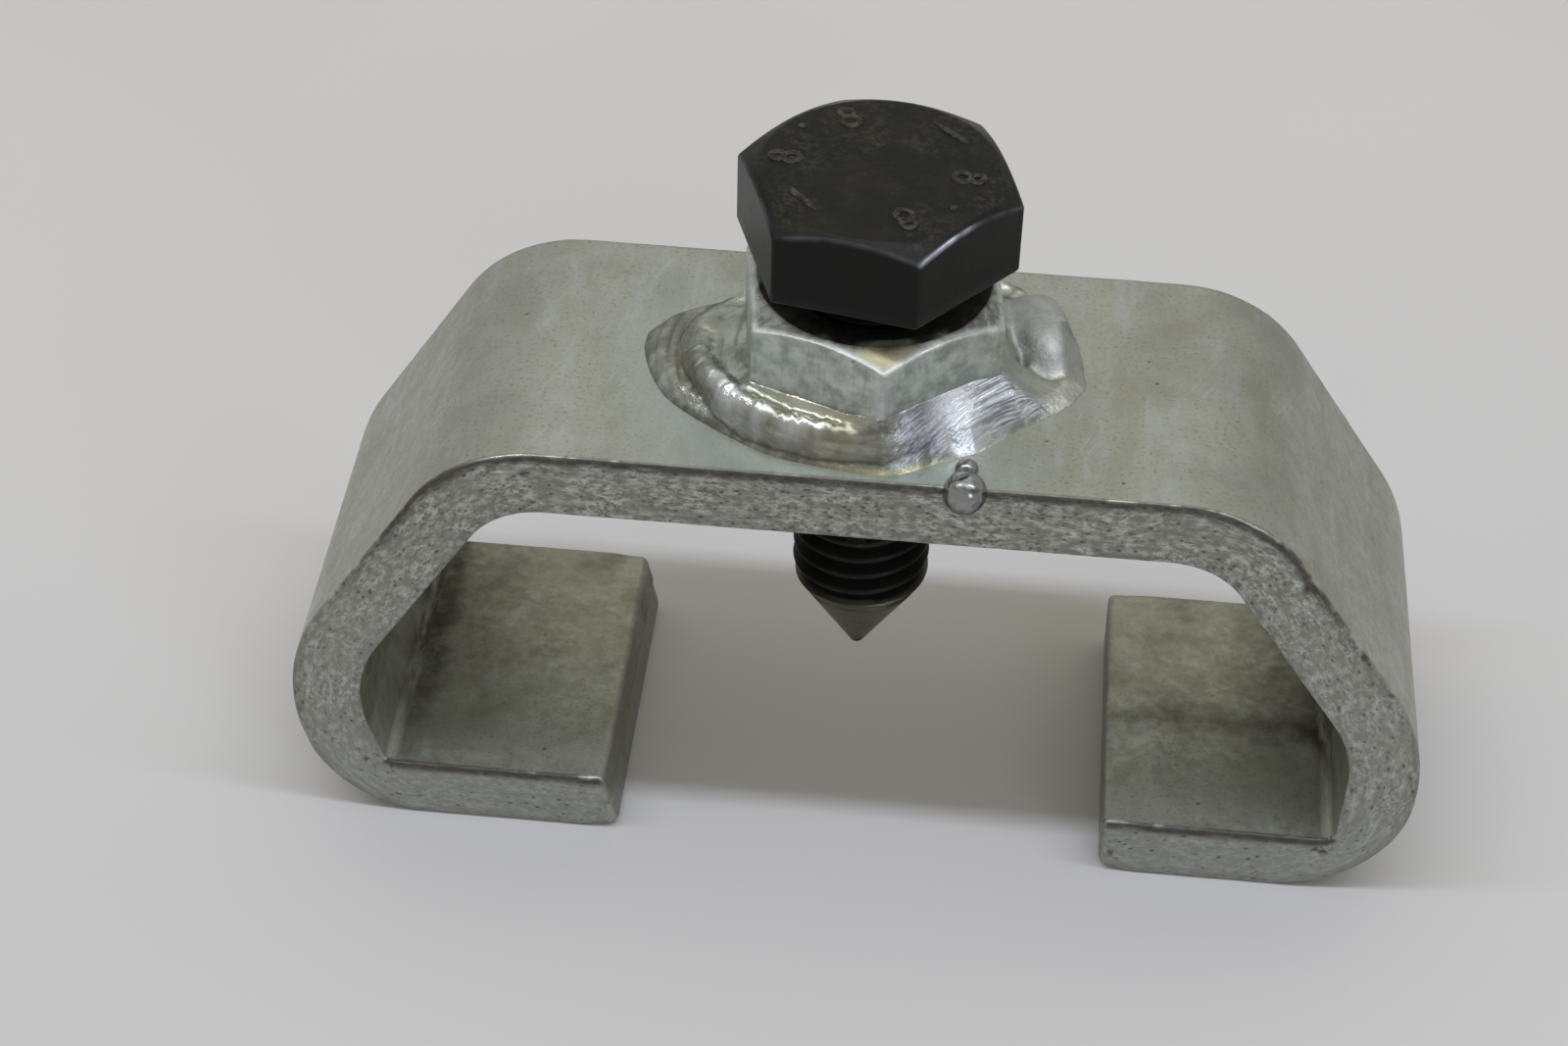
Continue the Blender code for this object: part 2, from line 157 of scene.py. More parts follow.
class Finish:
    """A procedural finish, built node by node on the piece's own coordinates in millimetres."""

    def __init__(self, name, metallic=1.0, attribute=None):
        self.material = bpy.data.materials.new(name)
        self.material.use_nodes = True
        self.tree = self.material.node_tree
        self.shader = self.tree.nodes["Principled BSDF"]
        self.shader.inputs["Metallic"].default_value = metallic
        if attribute:
            self.place = self.attribute(attribute, "Vector")
        else:
            scale = self.node("ShaderNodeMapping")
            scale.inputs["Scale"].default_value = (1 / MM, 1 / MM, 1 / MM)
            self.join(self.node("ShaderNodeTexCoord").outputs["Object"], scale.inputs["Vector"])
            self.place = scale.outputs["Vector"]

    def node(self, kind, **settings):
        made = self.tree.nodes.new(kind)
        for name, value in settings.items():
            setattr(made, name, value)
        return made

    def join(self, value, socket):
        """Links an output to a socket, or sets the socket to a plain value."""
        if isinstance(value, bpy.types.NodeSocket):
            self.tree.links.new(value, socket)
        else:
            socket.default_value = value

    def attribute(self, name, output="Fac"):
        return self.node("ShaderNodeAttribute", attribute_name=name).outputs[output]

    def channels(self, name):
        """The three masks that a piece carries in one colour attribute."""
        split = self.node("ShaderNodeSeparateColor")
        self.join(self.attribute(name, "Color"), split.inputs["Color"])
        return [split.outputs[channel] for channel in ("Red", "Green", "Blue")]

    def stretched(self, factors, turn=0.0, vector=None):
        """The place with its features stretched by the given factors, along X turned about Z by an angle."""
        mapping = self.node("ShaderNodeMapping", vector_type="TEXTURE")
        mapping.inputs["Scale"].default_value = factors
        mapping.inputs["Rotation"].default_value = (0, 0, turn)
        self.join(vector or self.place, mapping.inputs["Vector"])
        return mapping.outputs["Vector"]

    def noise(self, per_mm, detail=4.0, roughness=0.55, vector=None):
        texture = self.node("ShaderNodeTexNoise")
        for name, number in (("Scale", per_mm), ("Detail", detail), ("Roughness", roughness)):
            texture.inputs[name].default_value = number
        self.join(vector or self.place, texture.inputs["Vector"])
        return texture.outputs["Fac"]

    def cells(self, per_mm, vector=None):
        """Distance to the nearest of many scattered points."""
        texture = self.node("ShaderNodeTexVoronoi")
        texture.inputs["Scale"].default_value = per_mm
        self.join(vector or self.place, texture.inputs["Vector"])
        return texture.outputs["Distance"]

    def spread(self, value, low, high, to_low, to_high):
        """Stretches part of a value's range to a new one, with soft ends."""
        span = self.node("ShaderNodeMapRange", interpolation_type="SMOOTHSTEP")
        for name, number in (("From Min", low), ("From Max", high), ("To Min", to_low), ("To Max", to_high)):
            span.inputs[name].default_value = number
        self.join(value, span.inputs["Value"])
        return span.outputs["Result"]

    def share(self, value, low, high, most=1.0):
        """How far a value has come from low to high, up to the given most."""
        return self.spread(value, low, high, 0.0, most)

    def fade(self, value, low, high):
        """1 below the low limit, 0 above the high one."""
        return self.spread(value, low, high, 1.0, 0.0)

    def math(self, operation, first, second):
        made = self.node("ShaderNodeMath", operation=operation)
        self.join(first, made.inputs[0])
        self.join(second, made.inputs[1])
        return made.outputs["Value"]

    def times(self, first, second):
        return self.math("MULTIPLY", first, second)

    def plus(self, first, second):
        return self.math("ADD", first, second)

    def mix(self, share, first, second):
        """Mixes two colours by a share."""
        mixer = self.node("ShaderNodeMix", data_type="RGBA")
        self.join(share, mixer.inputs["Factor"])
        for value, socket in ((first, mixer.inputs[6]), (second, mixer.inputs[7])):
            self.join(value if isinstance(value, bpy.types.NodeSocket) else (*value, 1.0), socket)
        return mixer.outputs[2]

    def layers(self, base, *layers):
        """Lays colours over a base one by one, each by its share."""
        for share, tint in layers:
            base = self.mix(share, base, tint)
        return base

    def towards(self, share, value, level):
        """Draws a grey value towards an even level by a share."""
        return self.mix(share, value, (level,) * 3)

    def bump(self, height, distance, strength=1.0, below=None):
        """A relief of the given height in metres, laid over the one below it."""
        relief = self.node("ShaderNodeBump")
        relief.inputs["Strength"].default_value = strength
        relief.inputs["Distance"].default_value = distance
        self.join(height, relief.inputs["Height"])
        if below:
            self.join(below, relief.inputs["Normal"])
        return relief.outputs["Normal"]

    def finish(self, base, roughness, normal=None):
        self.join(base, self.shader.inputs["Base Color"])
        self.join(roughness, self.shader.inputs["Roughness"])
        if normal:
            self.join(normal, self.shader.inputs["Normal"])
        return self.material


def settings(name):
    """One of the scene's property groups."""
    return getattr(bpy.context.scene, name)


def smoothstep(low, high, value):
    """0 below the low limit, 1 above the high one, eased between."""
    share = np.clip((value - low) / (high - low), 0, 1)
    return share * share * (3 - 2 * share)


def rough(points, size, seed=0.0, octaves=3):
    """Soft noise of the given grain size in metres, about -1 to 1, at many points."""
    offset = Vector((seed, seed * 1.7, -seed))
    return np.array([noise.fractal(Vector(p) / size + offset, 1.0, 2.0, octaves) for p in points])


def new_piece(name, bm, material, body, slot, *replaced):
    """Makes a finished piece of a bmesh, smooth shaded, and sets it in the frame."""
    bmesh.ops.recalc_face_normals(bm, faces=bm.faces)
    mesh = bpy.data.meshes.new(name)
    bm.to_mesh(mesh)
    bm.free()
    mesh.shade_smooth()
    mesh.materials.append(material)
    piece = bpy.data.objects.new(name, mesh)
    bpy.context.scene.collection.objects.link(piece)
    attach(piece, body)
    if replaced:
        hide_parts(*replaced)
    return piece


def paint(piece, name, values, kind="FLOAT_COLOR"):
    """Stores values for every vertex in a named attribute: a plain number each, three masks or a place."""
    values = np.asarray(values)
    if values.ndim == 1:
        kind = "FLOAT"
    elif kind == "FLOAT_COLOR":
        values = np.column_stack([values, np.ones(len(values))])
    layer = piece.data.attributes.new(name, kind, "POINT")
    key = {"FLOAT": "value", "FLOAT_VECTOR": "vector", "FLOAT_COLOR": "color"}[kind]
    layer.data.foreach_set(key, values.astype(np.float32).ravel())


def coordinates(mesh):
    points = np.empty(len(mesh.vertices) * 3, np.float32)
    mesh.vertices.foreach_get("co", points)
    return points.reshape(-1, 3).astype(float)


# The folded bar

# outer and inner radius of each fold
SHOULDER, KNEE, HEEL = (0.0107, 0.0062), (0.0160, 0.0095), (0.0098, 0.0010)
STRAIGHT_STEPS = (46, 46, 16, 46)
ARC_STEPS = 26
STRAIGHT_SHARE = 0.98
ACROSS_STEPS, THROUGH_STEPS = 38, 28
CROWD_ACROSS, CROWD_THROUGH = 0.82, 0.75


def fillet(before, corner, after, radius):
    """Points of the arc that rounds a corner of an outline."""
    towards_before = (before - corner).normalized()
    towards_after = (after - corner).normalized()
    half = towards_before.angle(towards_after) / 2
    centre = corner + (towards_before + towards_after).normalized() * (radius / math.sin(half))
    start = corner + towards_before * (radius / math.tan(half)) - centre
    end = corner + towards_after * (radius / math.tan(half)) - centre
    sweep = math.copysign(math.pi - 2 * half, start.cross(end))
    return [centre + Matrix.Rotation(sweep * step / ARC_STEPS, 2) @ start for step in range(ARC_STEPS + 1)]


def rounded(chain, radii):
    """A chain of straights with its corners rounded, as evenly numbered points."""
    tangents = [0.0]
    for before, corner, after, radius in zip(chain, chain[1:], chain[2:], radii):
        tangents.append(radius / math.tan((before - corner).angle(after - corner) / 2))
    tangents.append(0.0)
    room = [(b - a).length * STRAIGHT_SHARE / max(s + t, 1e-9)
            for a, b, s, t in zip(chain, chain[1:], tangents, tangents[1:])]
    points = []
    last = chain[0]
    for i, radius in enumerate(radii):
        arc = fillet(*chain[i:i + 3], radius * min(1.0, room[i], room[i + 1]))
        points += [last.lerp(arc[0], step / STRAIGHT_STEPS[i]) for step in range(STRAIGHT_STEPS[i])]
        points += arc[:-1]
        last = arc[-1]
    steps = STRAIGHT_STEPS[-1]
    return points + [last.lerp(chain[-1], math.sin(step / steps * math.pi / 2)) for step in range(steps + 1)]


def inner_corner(before, corner, after, distance):
    """The corner of the inner face, one bar's thickness inside the outer one."""
    first = (corner - before).normalized()
    second = (after - corner).normalized()
    first_side = Vector((first.y, -first.x))
    middle = (first_side + Vector((second.y, -second.x))).normalized()
    return corner + middle * (distance / middle.dot(first_side))


def half_fold(bar, knee, knee_height, heel, lip_end, shear):
    """Matching points of one half's outer and inner faces, from the middle of the top to the lip's end."""
    height = BAR_BOX[1].z
    outer = [Vector((0, height)), Vector((bar.shoulder_reach, height)), Vector((knee, knee_height)),
             Vector((heel, 0)), Vector((lip_end - shear, 0))]
    corners = [inner_corner(*outer[i:i + 3], bar.thickness) for i in range(3)]
    inner = [outer[0] - Vector((0, bar.thickness)), *corners, Vector((lip_end, bar.thickness))]
    outside = rounded(outer, [radii[0] for radii in (SHOULDER, KNEE, HEEL)])
    inside = rounded(inner, [radii[1] for radii in (SHOULDER, KNEE, HEEL)])
    return np.array(outside), np.array(inside)


def folded_path(bar):
    """Outer and inner face of the whole bar from the left lip to the right one, and the way along it."""
    right = half_fold(bar, bar.right_knee_reach, bar.right_knee_height, bar.right_heel_reach, bar.right_lip_end, 0)
    left = half_fold(bar, bar.left_knee_reach, bar.left_knee_height, bar.left_heel_reach, bar.left_lip_end,
                     bar.left_lip_shear)
    outer, inner = (np.concatenate([one[:0:-1] * (-1, 1), other]) for one, other in zip(left, right))
    middle = (outer + inner) / 2
    along = np.concatenate([[0], np.cumsum(np.linalg.norm(np.diff(middle, axis=0), axis=1))])
    return outer, inner, along


def flat_bar(steps, across, through):
    """The unfolded bar as a finely divided box from 0 to 1 along each axis."""
    bm = bmesh.new()
    bmesh.ops.create_cube(bm, size=1, matrix=Matrix.Translation((0.5, 0.5, 0.5)))
    for axis, cuts in enumerate((steps, across, through)):
        lines = [edge for edge in bm.edges if abs(edge.verts[0].co[axis] - edge.verts[1].co[axis]) > 0.5]
        bmesh.ops.subdivide_edges(bm, edges=lines, cuts=cuts - 1, use_grid_fill=True)
    return bm


def crowd(share, amount):
    """Moves evenly spaced shares closer to both ends."""
    return share - amount * np.sin(2 * np.pi * share) / (2 * np.pi)


def roll_over(depths, radii):
    """Rounds the edges of a box: depths are the distances from its nearest faces along each axis."""
    inside = np.maximum(radii[:, None] - depths, 0)
    reach = np.maximum(np.linalg.norm(inside, axis=1), 1e-12)
    several = (inside > 1e-9).sum(axis=1) > 1
    scale = np.where(several, radii / reach, 1.0)
    return np.where(inside > 0, radii[:, None] - inside * scale[:, None], depths)


# edges: inner roll-over as a share of the outer one, and the larger roll-over at the lips' ends
INNER_EDGE_SHARE = 0.55
LIP_END_ZONE, LIP_END_RADII = (0.0030, 0.0008), (0.00100, 0.00050)
LIP_REACH = 0.0185
# bands beside an edge, by distance from it: where a face begins, where the edge is rolled, the burr, the groove
FACE_BAND, ROLLED_BAND = (0.00022, 0.00002), (0.00036, 0.00024)
BURR_PLACE, BURR_WIDTH = 0.00011, 0.00008
GROOVE_PLACE, GROOVE_WIDTH, GROOVE_DEPTH = 0.00038, 0.00032, 0.00005
SAG_DEPTH = 0.000012
# nicks in the front cut face in millimetres: x, z, radius, depth
FRONT_MARKS = (
    (-22.4, 33.7, 0.55, 0.16), (-38.9, 14.2, 0.42, 0.10), (-27.9, 24.9, 0.40, 0.10), (-35.5, 6.0, 0.38, 0.14),
    (-34.9, 5.1, 0.36, 0.15), (-34.3, 4.4, 0.36, 0.14), (30.75, 28.9, 0.60, 0.20), (25.9, 28.8, 0.42, 0.12),
    (26.6, 28.3, 0.36, 0.10), (35.3, 23.1, 0.40, 0.14), (37.7, 19.8, 0.38, 0.14), (36.1, 20.6, 0.50, 0.10),
    (35.0, 3.7, 0.42, 0.16), (34.4, 4.0, 0.36, 0.14), (19.8, 1.9, 0.55, 0.14), (-23.7, 31.1, 0.50, 0.08),
    (-33.4, 22.2, 0.50, 0.06), (28.2, 26.2, 0.35, 0.08), (33.0, 22.4, 0.40, 0.07), (-17.2, 5.1, 0.35, 0.12),
)


def shape_bar(mesh, bar):
    """Folds the flat box into the yoke and gives its cut faces, edges and nicks their relief."""
    outer, inner, along = folded_path(bar)
    shares = coordinates(mesh)
    low, high = BAR_BOX
    width = high.y - low.y
    whole = along[-1]
    place = np.interp(shares[:, 0] * (len(along) - 1), np.arange(len(along)), along)
    across = crowd(shares[:, 1], CROWD_ACROSS) * width
    depth = crowd(shares[:, 2], CROWD_THROUGH) * bar.thickness
    depths = np.column_stack([np.minimum(place, whole - place), np.minimum(across, width - across),
                              np.minimum(depth, bar.thickness - depth)])
    outside = depth > bar.thickness / 2
    radii = np.where(outside, bar.edge_radius, bar.edge_radius * INNER_EDGE_SHARE)
    radii = radii + smoothstep(*LIP_END_ZONE, depths[:, 0]) * (np.where(outside, *LIP_END_RADII) - radii)
    depths = roll_over(depths, radii)
    place = np.where(place < whole / 2, depths[:, 0], whole - depths[:, 0])
    across = np.where(across < width / 2, depths[:, 1], width - depths[:, 1])
    depth = np.where(outside, bar.thickness - depths[:, 2], depths[:, 2])
    unrolled = np.column_stack([place, across, depth])

    to_side, to_face = depths[:, 1], depths[:, 2]
    front = across < width / 2
    sheared = outside | (np.minimum(place, whole - place) < LIP_REACH) & front
    cut = smoothstep(*FACE_BAND, to_side)
    broad = smoothstep(*FACE_BAND, to_face)
    lengthwise = unrolled * (1, 0, 0)
    edge_wave = rough(lengthwise, 0.0022, 3.0) + 0.6 * rough(lengthwise, 0.0006, 9.0)
    grain = rough(unrolled * (0.6, 1, 1), 0.0007, 5.0) + 0.7 * rough(unrolled * (0.7, 1, 1), 0.0019, 7.0)
    sag = rough(unrolled * (1, 1, 0), 0.006, 11.0, 2)

    # in parts the edge carries a burr, and between those it is rolled over
    line = np.exp(-((to_side - BURR_PLACE) / BURR_WIDTH) ** 2) * broad * sheared
    right_half = smoothstep(-0.2, 0.3, (place - whole / 2) * 40)
    patchy = smoothstep(0.20, 0.85, edge_wave + 0.5 * rough(lengthwise, 0.009, 21.0, 1) + 0.22 * right_half)
    rise = line * bar.burr_height * (0.35 + 0.9 * patchy) * np.where(front, 1.0, 0.5)
    depth = depth + np.where(outside, rise, -rise) + broad * sag * SAG_DEPTH * np.where(outside, 1, -1)
    rolled = smoothstep(*ROLLED_BAND, np.hypot(to_side, to_face)) * front * (1 - patchy) * sheared
    groove = np.exp(-((to_face - GROOVE_PLACE) / GROOVE_WIDTH) ** 2) * cut * np.where(sheared, 1.0, 0.15)
    groove *= np.clip(0.85 + 0.4 * edge_wave, 0, 1)
    sink = cut * np.abs(grain) * bar.grain_depth + groove * GROOVE_DEPTH

    flat = np.clip(depth / bar.thickness, -0.05, 1.05)
    span = np.column_stack([np.interp(place, along, outer[:, i]) for i in (0, 1)])
    core = np.column_stack([np.interp(place, along, inner[:, i]) for i in (0, 1)])
    folded = core + (span - core) * flat[:, None]
    for x, z, radius, deep in FRONT_MARKS:
        near = np.hypot(folded[:, 0] - x * MM, folded[:, 1] - z * MM) / (radius * MM)
        sink += np.where(front, cut, 0) * np.exp(-near ** 2 * 1.6) * deep * MM * (0.8 + 0.4 * grain)
    y = low.y + np.where(front, across + sink, across - sink)
    points = np.clip(np.column_stack([folded[:, 0], y, folded[:, 1]]), low, high)
    mesh.vertices.foreach_set("co", points.astype(np.float32).ravel())
    return points, unrolled, {"cut": cut, "line": line, "burr_and_glint": line * patchy, "rolled": rolled,
                              "groove": groove, "sink": sink, "outside": outside}


# places on the bar: the height of the lips, the inner heel corners where shade is painted, and the painted glints on
# the front edge
LIP_HEIGHT = 0.0085
HEEL_REACH, HEEL_HEIGHT = (0.0357, 0.0325), 0.0056
GLINTS = ((0.0266, 0.0014), (-0.0236, 0.0026))
HALO_RADIUS, HALO_WIDTH = 0.0135, 0.0062


def bar_masks(points, unrolled, parts):
    """Where the bar is cut, light-edged (a ridge with painted glints) and dark (painted shade in the groove and
    nicks, an edge line, the lip ends), and where it is stained, heat-tinted and painted with shade in the hooks'
    corners.
    """
    x, y, z = points.T
    cut, outside, line = parts["cut"], parts["outside"], parts["line"]
    inside = ~outside & (cut < 0.5)
    lip = inside & (z < LIP_HEIGHT)
    # stain: olive inside the hooks; on the outer faces it grows towards the right end of the top
    stain = np.where(inside, 0.62, 0.24 * smoothstep(0.006, 0.030, x))
    # on the lips there is less of it towards the front edge, and a little less on the right lip
    lip_front_falloff = (smoothstep(-0.0105, -0.003, y) * 0.85 + 0.15) * np.where(x > 0, 0.85, 0.93)
    stain = np.where(lip, (0.62 + 0.3 * smoothstep(-0.004, 0.006, y)) * lip_front_falloff, stain)
    calm = smoothstep(0.031, 0.018, z) * 0.35 + smoothstep(LIP_HEIGHT, 0.0045, z) * 0.3
    stain = np.where(cut > 0.5, calm, stain)
    halo = smoothstep(HALO_WIDTH, 0.0, np.abs(np.hypot(x, y) - HALO_RADIUS))
    halo *= outside * smoothstep(0.034, 0.0352, z) * smoothstep(0.004, -0.010, y + 0.8 * x)

    # dark: painted shade in the groove under the edge and in the nicks, a dark line along the rolled edge, and darker
    # lip ends; the line fades lower down the outer faces
    end_face = smoothstep(0.0003, 0.00005, np.minimum(unrolled[:, 0], unrolled[:, 0].max() - unrolled[:, 0]))
    pits = smoothstep(0.00006, 0.00014, parts["sink"])
    fade = np.where(outside, 0.2 + 0.8 * smoothstep(0.020, 0.033, z), 1.0)
    dull = 0.6 * (line - parts["burr_and_glint"]) + 0.7 * parts["rolled"]
    dark = np.clip(parts["groove"] * 1.1 * fade + end_face * 0.40 + pits + dull * fade, 0, 1)
    # painted glints on the front top edge where the shoulders bend, added to the light colour of the edge ridge
    glint = sum(np.exp(-((x - place) / wide) ** 2) for place, wide in GLINTS) * (line * outside * (y < 0))
    bright = np.clip(parts["burr_and_glint"] * np.where(z < 0.01, 0.3, 1.3) + 1.2 * glint, 0, 1)

    # painted shade in the inner heel corners of the hooks and along their creases, less towards the front, and a
    # stain band across the right lip
    from_heel = np.abs(x) - np.where(x > 0, *HEEL_REACH)
    corner = inside * smoothstep(0.0095, 0.0003, np.hypot(from_heel * 0.9, z - HEEL_HEIGHT))
    crease_shade = inside * smoothstep(0.0019, 0.0007, np.hypot(from_heel, z - HEEL_HEIGHT))
    band = inside * lip * (x > 0) * np.exp(-((y + 0.0008 - 0.0006 * np.sin(x * 300)) / 0.0013) ** 2)
    soiled = corner * (smoothstep(-0.0100, 0.0010, y) * 0.55)
    soiled = soiled + crease_shade * smoothstep(-0.0112, -0.0060, y) * np.where(x > 0, 0.35, 0.42) + 0.45 * band
    return (np.column_stack([cut, bright, dark * (1 - np.clip(glint, 0, 1))]),
            np.column_stack([stain, halo, np.clip(soiled, 0, 1)]))


def bar_finish(colours):
    """Dull zinc plate with grainy cut faces, a light edge ridge with painted glints, painted shade in the nicks, the
    groove and the hooks' inner corners, and an olive stain inside the hooks.
    """
    zinc = Finish("bar_zinc", attribute="unrolled")
    cut, burr_and_glint, dark = zinc.channels("wear")
    stain, halo, grime = zinc.channels("tone_and_shade")

    # the rolled faces: clouds, pepper, olive and bluish streaks, specks and scuffs
    mottle = zinc.share(zinc.noise(1.1, 6, 0.68), 0.34, 0.66)
    olive = zinc.noise(0.5, 5, 0.62, zinc.stretched((1.0, 3.5, 1.0)))
    specks = zinc.times(zinc.fade(zinc.cells(0.42), 0.035, 0.085), zinc.share(zinc.noise(0.5, 2), 0.48, 0.62))
    scuffs = zinc.noise(1.0, 3, 0.6, zinc.stretched((4.5, 0.22, 0.22), 1.2))
    plate = zinc.layers(
        colours.zinc_dark,
        (zinc.share(zinc.noise(0.16, 5, 0.6), 0.32, 0.68), colours.zinc_light),
        (zinc.share(mottle, 0.0, 1.0, 0.55), (0.355, 0.365, 0.315)),
        (zinc.times(zinc.fade(zinc.noise(3.6, 4, 0.7), 0.34, 0.47), 0.65), (0.19, 0.19, 0.155)),
        (zinc.share(olive, 0.50, 0.68, 0.5), (0.33, 0.335, 0.27)),
        (zinc.share(olive, 0.48, 0.32, 0.45), (0.50, 0.53, 0.54)),
        (zinc.share(zinc.noise(0.33, 3, 0.5), 0.52, 0.75, 0.35), (0.46, 0.47, 0.50)),
        (zinc.times(halo, 0.42), (0.47, 0.56, 0.56)),
        (zinc.times(specks, 0.8), (0.09, 0.085, 0.07)),
        (zinc.share(scuffs, 0.62, 0.72, 0.28), (0.62, 0.63, 0.60)))
    soiled = zinc.mix(zinc.share(zinc.noise(0.28, 5, 0.65), 0.38, 0.62), colours.stain, plate)
    soiled = zinc.mix(0.55, zinc.mix(0.75, plate, soiled), colours.stain)
    smudge = zinc.times(zinc.share(zinc.noise(0.24, 5, 0.62), 0.44, 0.70), stain)
    plate = zinc.layers(plate, (stain, soiled), (zinc.times(smudge, 0.62), (0.10, 0.098, 0.07)))

    # the cut faces: bright flecks, soot and pores, calmer where they are stained
    flecks = zinc.noise(2.0, 6, 0.74, zinc.stretched((2.1, 1, 1)))
    patches = zinc.noise(0.5, 3, 0.6, zinc.stretched((1.6, 1, 1)))
    tilt = zinc.plus(zinc.times(flecks, 0.88), zinc.times(patches, 0.12))
    soot = zinc.noise(4.6, 4, 0.66, zinc.stretched((1.7, 1, 1), 0.1))
    soot = zinc.plus(zinc.times(soot, 0.72), zinc.times(patches, 0.28))
    calm = zinc.spread(patches, 0.38, 0.60, 0.55, 1.0)
    pores = zinc.times(zinc.fade(zinc.cells(1.9, zinc.stretched((1.6, 1, 1))), 0.08, 0.30),
                       zinc.fade(patches, 0.44, 0.62))
    face = zinc.layers(
        (0.27, 0.275, 0.24),
        (zinc.times(zinc.share(tilt, 0.42, 0.63), calm), colours.cut_light),
        (zinc.times(zinc.share(soot, 0.52, 0.62, 0.75), calm), colours.cut_dark),
        (stain, (0.385, 0.395, 0.36)),
        (zinc.times(pores, 0.75), (0.07, 0.065, 0.055)))

    cloudy = zinc.spread(zinc.noise(0.35, 5, 0.6), 0.35, 0.62, 0.25, 1.0)
    base = zinc.layers(
        plate,
        (cut, face),
        # the light colour of the edge ridge, partly a painted glint along the edge
        (zinc.times(burr_and_glint, 0.8), (0.62, 0.60, 0.52)),
        # painted shade in the groove and the nicks, with the dark edge line and the darker lip ends
        (zinc.times(dark, 0.85), (0.070, 0.058, 0.052)),
        # painted shade in the hooks' inner corners, with the stain band on the right lip
        (zinc.times(grime, cloudy), (0.105, 0.10, 0.08)))
    sheen = zinc.plus(zinc.spread(mottle, 0.0, 1.0, 0.40, 0.52), zinc.times(grime, 0.35))
    roughness = zinc.mix(cut, sheen, zinc.spread(tilt, 0.45, 0.62, 0.62, 0.42))
    roughness = zinc.towards(burr_and_glint, roughness, 0.22)
    pebble = zinc.bump(zinc.noise(2.6, 5, 0.6), 0.000012, 0.55)
    relief = zinc.bump(tilt, 0.00007, 1.0, pebble)
    kept = zinc.node("ShaderNodeMix", data_type="VECTOR")
    for value, socket in ((cut, "Factor"), (pebble, 4), (relief, 5)):
        zinc.join(value, kept.inputs[socket])
    return zinc.finish(base, roughness, kept.outputs[1])


class PULLER_OT_bar(bpy.types.Operator):
    """Folds the flat bar into the yoke and gives it its worn zinc finish"""

    bl_idname = "puller.bar"
    bl_label = "Folded bar"

    def execute(self, context):
        bar = settings("puller_bar")
        steps = 2 * (sum(STRAIGHT_STEPS) + 3 * ARC_STEPS)
        piece = new_piece("folded_bar", flat_bar(steps, ACROSS_STEPS, THROUGH_STEPS),
                          bar_finish(settings("puller_finish")), "yoke", "bar_zinc", "yoke")
        points, unrolled, parts = shape_bar(piece.data, bar)
        wear, tone_and_shade = bar_masks(points, unrolled, parts)
        paint(piece, "unrolled", unrolled / MM, "FLOAT_VECTOR")
        paint(piece, "wear", wear)
        paint(piece, "tone_and_shade", tone_and_shade)
        face_outwards(piece)
        return {"FINISHED"}


def face_outwards(piece):
    """Points the faces outwards once the vertices are in place."""
    bm = bmesh.new()
    bm.from_mesh(piece.data)
    bmesh.ops.recalc_face_normals(bm, faces=bm.faces)
    bm.to_mesh(piece.data)
    bm.free()


# Round bodies whose section changes with the angle

HALF_SIDE = math.pi / 6
ROUND_STEPS, ROUND_CROWDING = 240, 0.75


def ring_body(sections, segments, place, crowding=0.0, closed=True):
    """Spins a section of numbered points about Z, then places each by its number and its angle."""
    bm = bmesh.new()
    number = bm.verts.layers.int.new("number")
    verts = []
    for i in range(sections):
        vert = bm.verts.new((1, 0, i))
        vert[number] = i
        verts.append(vert)
    pairs = list(zip(verts, verts[1:]))
    if closed:
        pairs.append((verts[-1], verts[0]))
    edges = [bm.edges.new(pair) for pair in pairs]
    bmesh.ops.spin(bm, geom=verts + edges, cent=(0, 0, 0), axis=(0, 0, 1), angle=math.tau, steps=segments,
                   use_merge=True, use_duplicate=False)
    for vert in bm.verts:
        angle = math.atan2(vert.co.y, vert.co.x)
        angle += crowding * math.sin(6 * angle) / 6
        vert.co = place(vert[number], angle)
    bmesh.ops.remove_doubles(bm, verts=bm.verts, dist=1e-7)
    return bm


def hexagon_radius(angle, flats, corner):
    """Distance from the axis to a hexagon's wall with rounded corners; a corner lies at 30 degrees."""
    off = abs((angle + HALF_SIDE) % (2 * HALF_SIDE) - HALF_SIDE)
    half = flats / 2
    if math.tan(off) < (half - corner) * math.tan(HALF_SIDE) / half:
        return half / math.cos(off)
    reach = (half - corner) / math.cos(HALF_SIDE)
    away = HALF_SIDE - off
    return reach * math.cos(away) + math.sqrt(max(corner ** 2 - (reach * math.sin(away)) ** 2, 0))


def hexagon_section(flats, corner, circle, bottom, top, angle, soft=0.00018):
    """Wall and chamfer of a hexagon at an angle: (radius, height) points from the bottom edge to the top face."""
    wall = hexagon_radius(angle, flats, corner)
    shoulder = top - max(wall - circle, 0.0001) * math.tan(HALF_SIDE)
    points = [(wall - soft, bottom), (wall - soft * 0.3, bottom + soft * 0.3), (wall, bottom + soft)]
    points += [(wall, bottom + soft + (shoulder - bottom - 3 * soft) * step / 6) for step in range(1, 7)]
    points.append((wall, shoulder - soft))
    points += [(wall - soft * 0.12, shoulder - soft * 0.45), (wall - soft * 0.5, shoulder + soft * 0.08)]
    inner = circle - soft * 0.4
    points += [(wall - soft - (wall - soft - inner) * share,
                shoulder + soft * 0.38 + (top - soft * 0.12 - shoulder - soft * 0.38) * share)
               for share in (0, 0.12, 0.3, 0.5, 0.75, 1)]
    return points + [(inner - soft * 0.5, top)]


